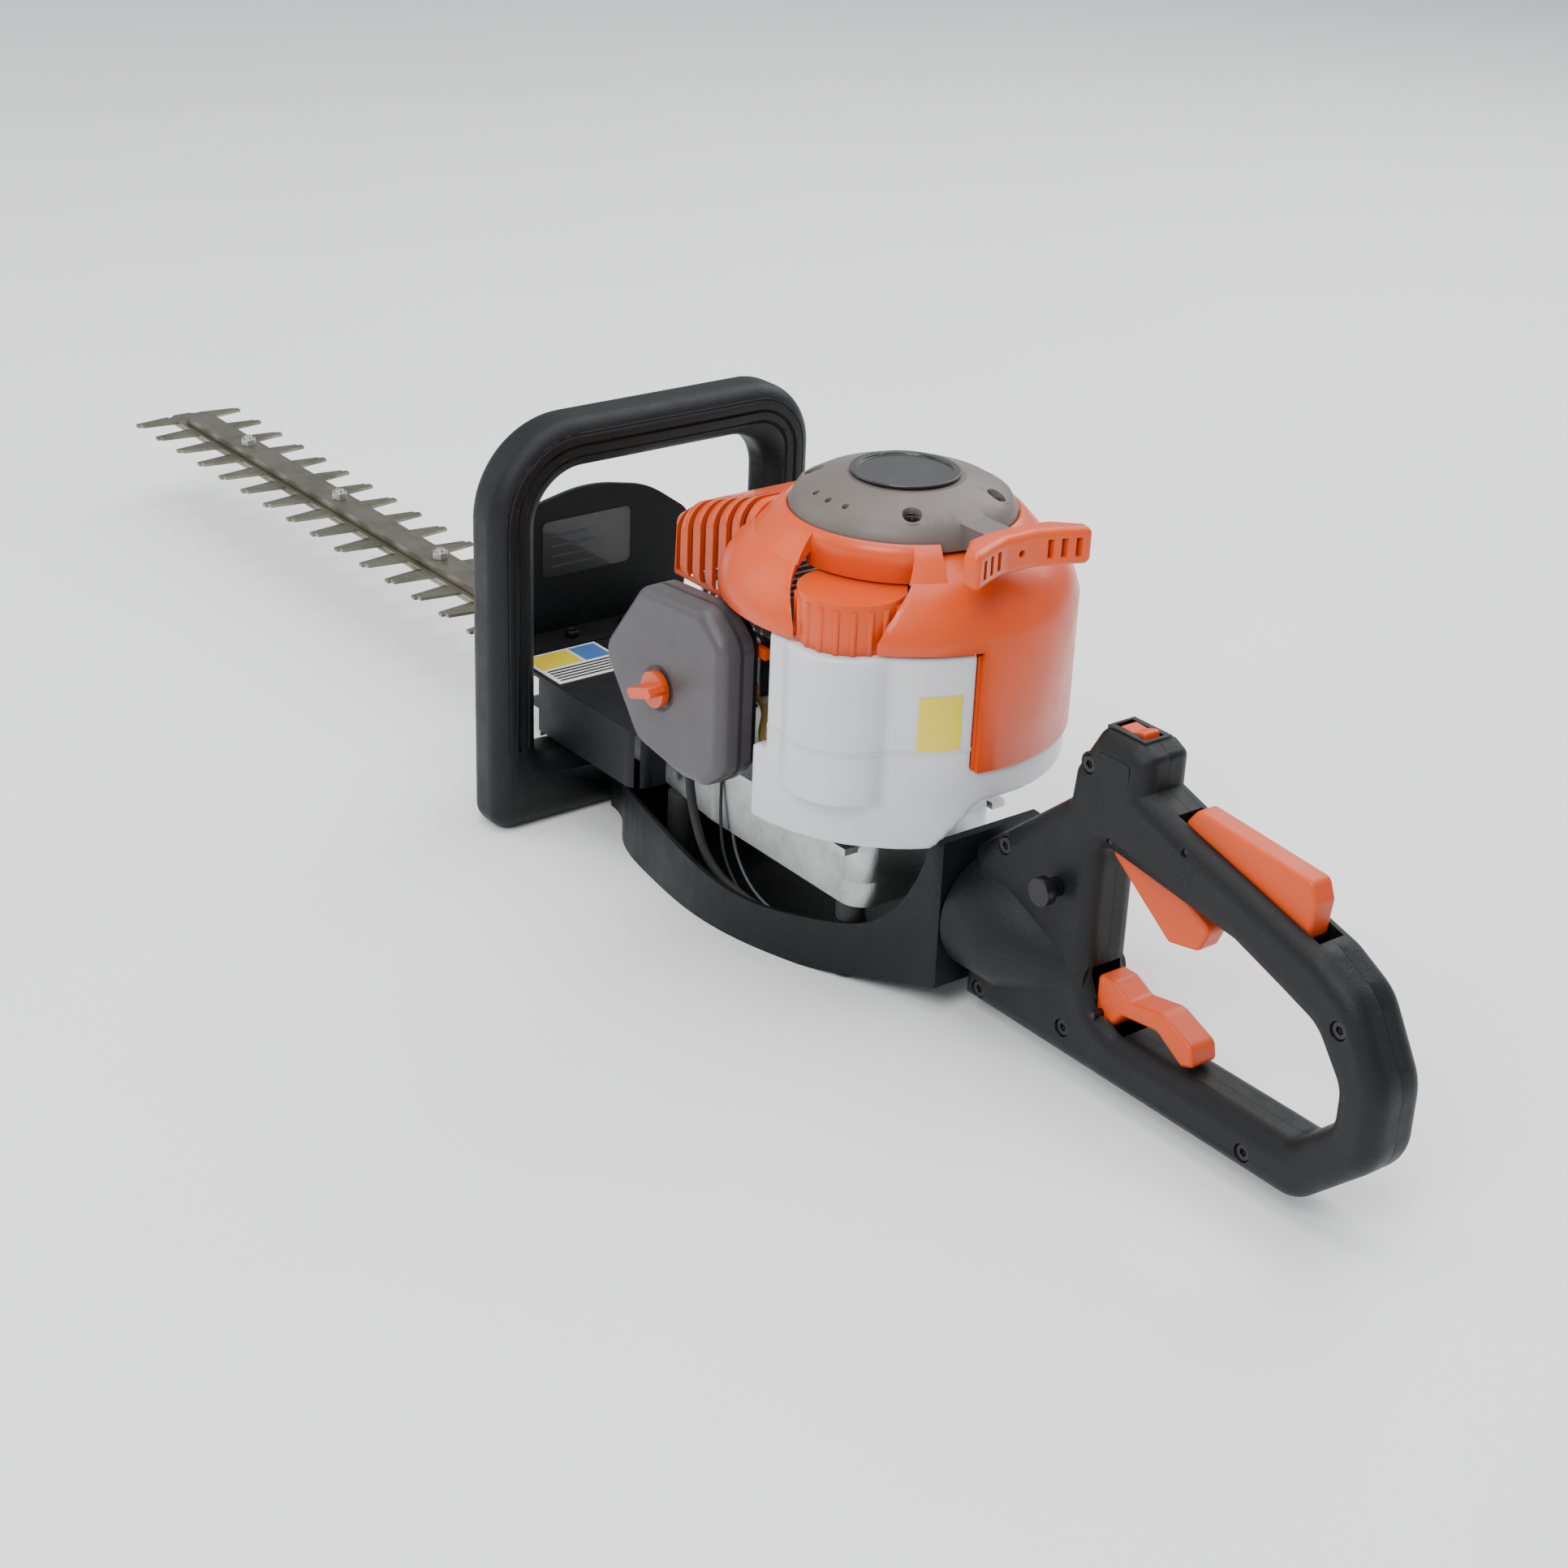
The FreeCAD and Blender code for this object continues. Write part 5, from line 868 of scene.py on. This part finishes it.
def make_tank_sticker():
    """A plain yellow film that follows the curve of the tank wall."""
    centre = engine_centre()
    low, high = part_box("fuel_tank")
    radius = high[0] - centre[0]
    sheet_of = []
    bm = bmesh.new()
    rows, columns = 10, 14
    start, end = math.radians(-32), math.radians(-18)
    z_low, z_high = 0.156, 0.186
    for row in range(rows + 1):
        line = []
        for column in range(columns + 1):
            turn = start + (end - start) * column / columns
            z = z_low + (z_high - z_low) * row / rows
            line.append(bm.verts.new((centre[0] + radius * math.cos(turn), centre[1] + radius * math.sin(turn), z)))
        sheet_of.append(line)
    for row in range(rows):
        for column in range(columns):
            bm.faces.new((sheet_of[row][column], sheet_of[row][column + 1], sheet_of[row + 1][column + 1],
                          sheet_of[row + 1][column]))
    data = bpy.data.meshes.new("tank_sticker")
    bm.to_mesh(data)
    bm.free()
    obj = bpy.data.objects.new("tank_sticker", data)
    bpy.context.scene.collection.objects.link(obj)
    thick = obj.modifiers.new("thick", "SOLIDIFY")
    thick.thickness = 0.0003
    thick.offset = 1.0
    apply_modifiers(obj)
    smooth(obj)
    coat_with(obj, FILM_YELLOW)
    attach(obj, "frame")
    return obj


# ---------------------------------------------------------------- stage

def make_floor():
    deselect()
    bpy.ops.mesh.primitive_plane_add(size=14, location=(0, 0, 0))
    floor = bpy.context.object
    floor.name = "studio_floor"
    material, tree, shader = new_material("pale_floor")
    place = tree.nodes.new("ShaderNodeTexCoord").outputs["Object"]
    tone = remap(tree, noise(tree, place, 3.0), 0.3, 0.7, 0.93, 0.96)
    tree.links.new(blend_colours(tree, 1.0, (1, 1, 1, 1), tone, "MULTIPLY"), shader.inputs["Base Color"])
    shader.inputs["Roughness"].default_value = 0.6
    shader.inputs["Specular IOR Level"].default_value = 0.2
    coat_with(floor, material)


def area_light(name, at, aim, size, power, size_y=None):
    deselect()
    bpy.ops.object.light_add(type="AREA", location=at)
    light = bpy.context.object
    light.name = name
    light.data.shape = "RECTANGLE"
    light.data.size = size
    light.data.size_y = size_y or size
    light.data.energy = power
    light.rotation_euler = (Vector(aim) - Vector(at)).to_track_quat("-Z", "Y").to_euler()


def make_lights():
    aim = (0.1, 0, 0.1)
    area_light("key", (1.2, -1.9, 2.2), aim, 1.4, 60)
    area_light("fill", (-1.8, -1.7, 1.4), aim, 2.0, 20)
    area_light("back", (-0.4, 2.1, 1.9), aim, 1.8, 40)
    area_light("over", (0.1, 0.1, 2.8), aim, 2.2, 60)
    world = bpy.data.worlds.new("studio")
    bpy.context.scene.world = world
    world.use_nodes = True
    backdrop = world.node_tree.nodes["Background"]
    backdrop.inputs["Color"].default_value = (0.93, 0.95, 1.0, 1)
    backdrop.inputs["Strength"].default_value = 0.60


def make_camera():
    deselect()
    bpy.ops.object.camera_add(location=EYE)
    camera = bpy.context.object
    camera.data.lens = LENS_MM
    camera.data.sensor_width = SENSOR_MM
    back = Vector((math.sin(LOOK_AZIMUTH) * math.cos(LOOK_ELEVATION),
                   -math.cos(LOOK_AZIMUTH) * math.cos(LOOK_ELEVATION), math.sin(LOOK_ELEVATION)))
    level = Vector((math.cos(LOOK_AZIMUTH), math.sin(LOOK_AZIMUTH), 0))
    upright = level.cross(-back)
    right = level * math.cos(LOOK_ROLL) + upright * math.sin(LOOK_ROLL)
    up = upright * math.cos(LOOK_ROLL) - level * math.sin(LOOK_ROLL)
    turn = Matrix((right, up, back)).transposed()
    camera.matrix_world = Matrix.Translation(EYE) @ turn.to_4x4()
    bpy.context.scene.camera = camera


make_camera()
make_floor()
make_lights()
coat_cad_nodes()
make_front_handle()
make_tank_seam(make_tank())
make_filter_groove_shade()
make_shoulder_lip()
make_rope()
make_case_label()
make_guard_plate()
make_tank_sticker()
make_switch_leads()
refine_cad_nodes({"front_handle", "fuel_tank", "starter_rope"})
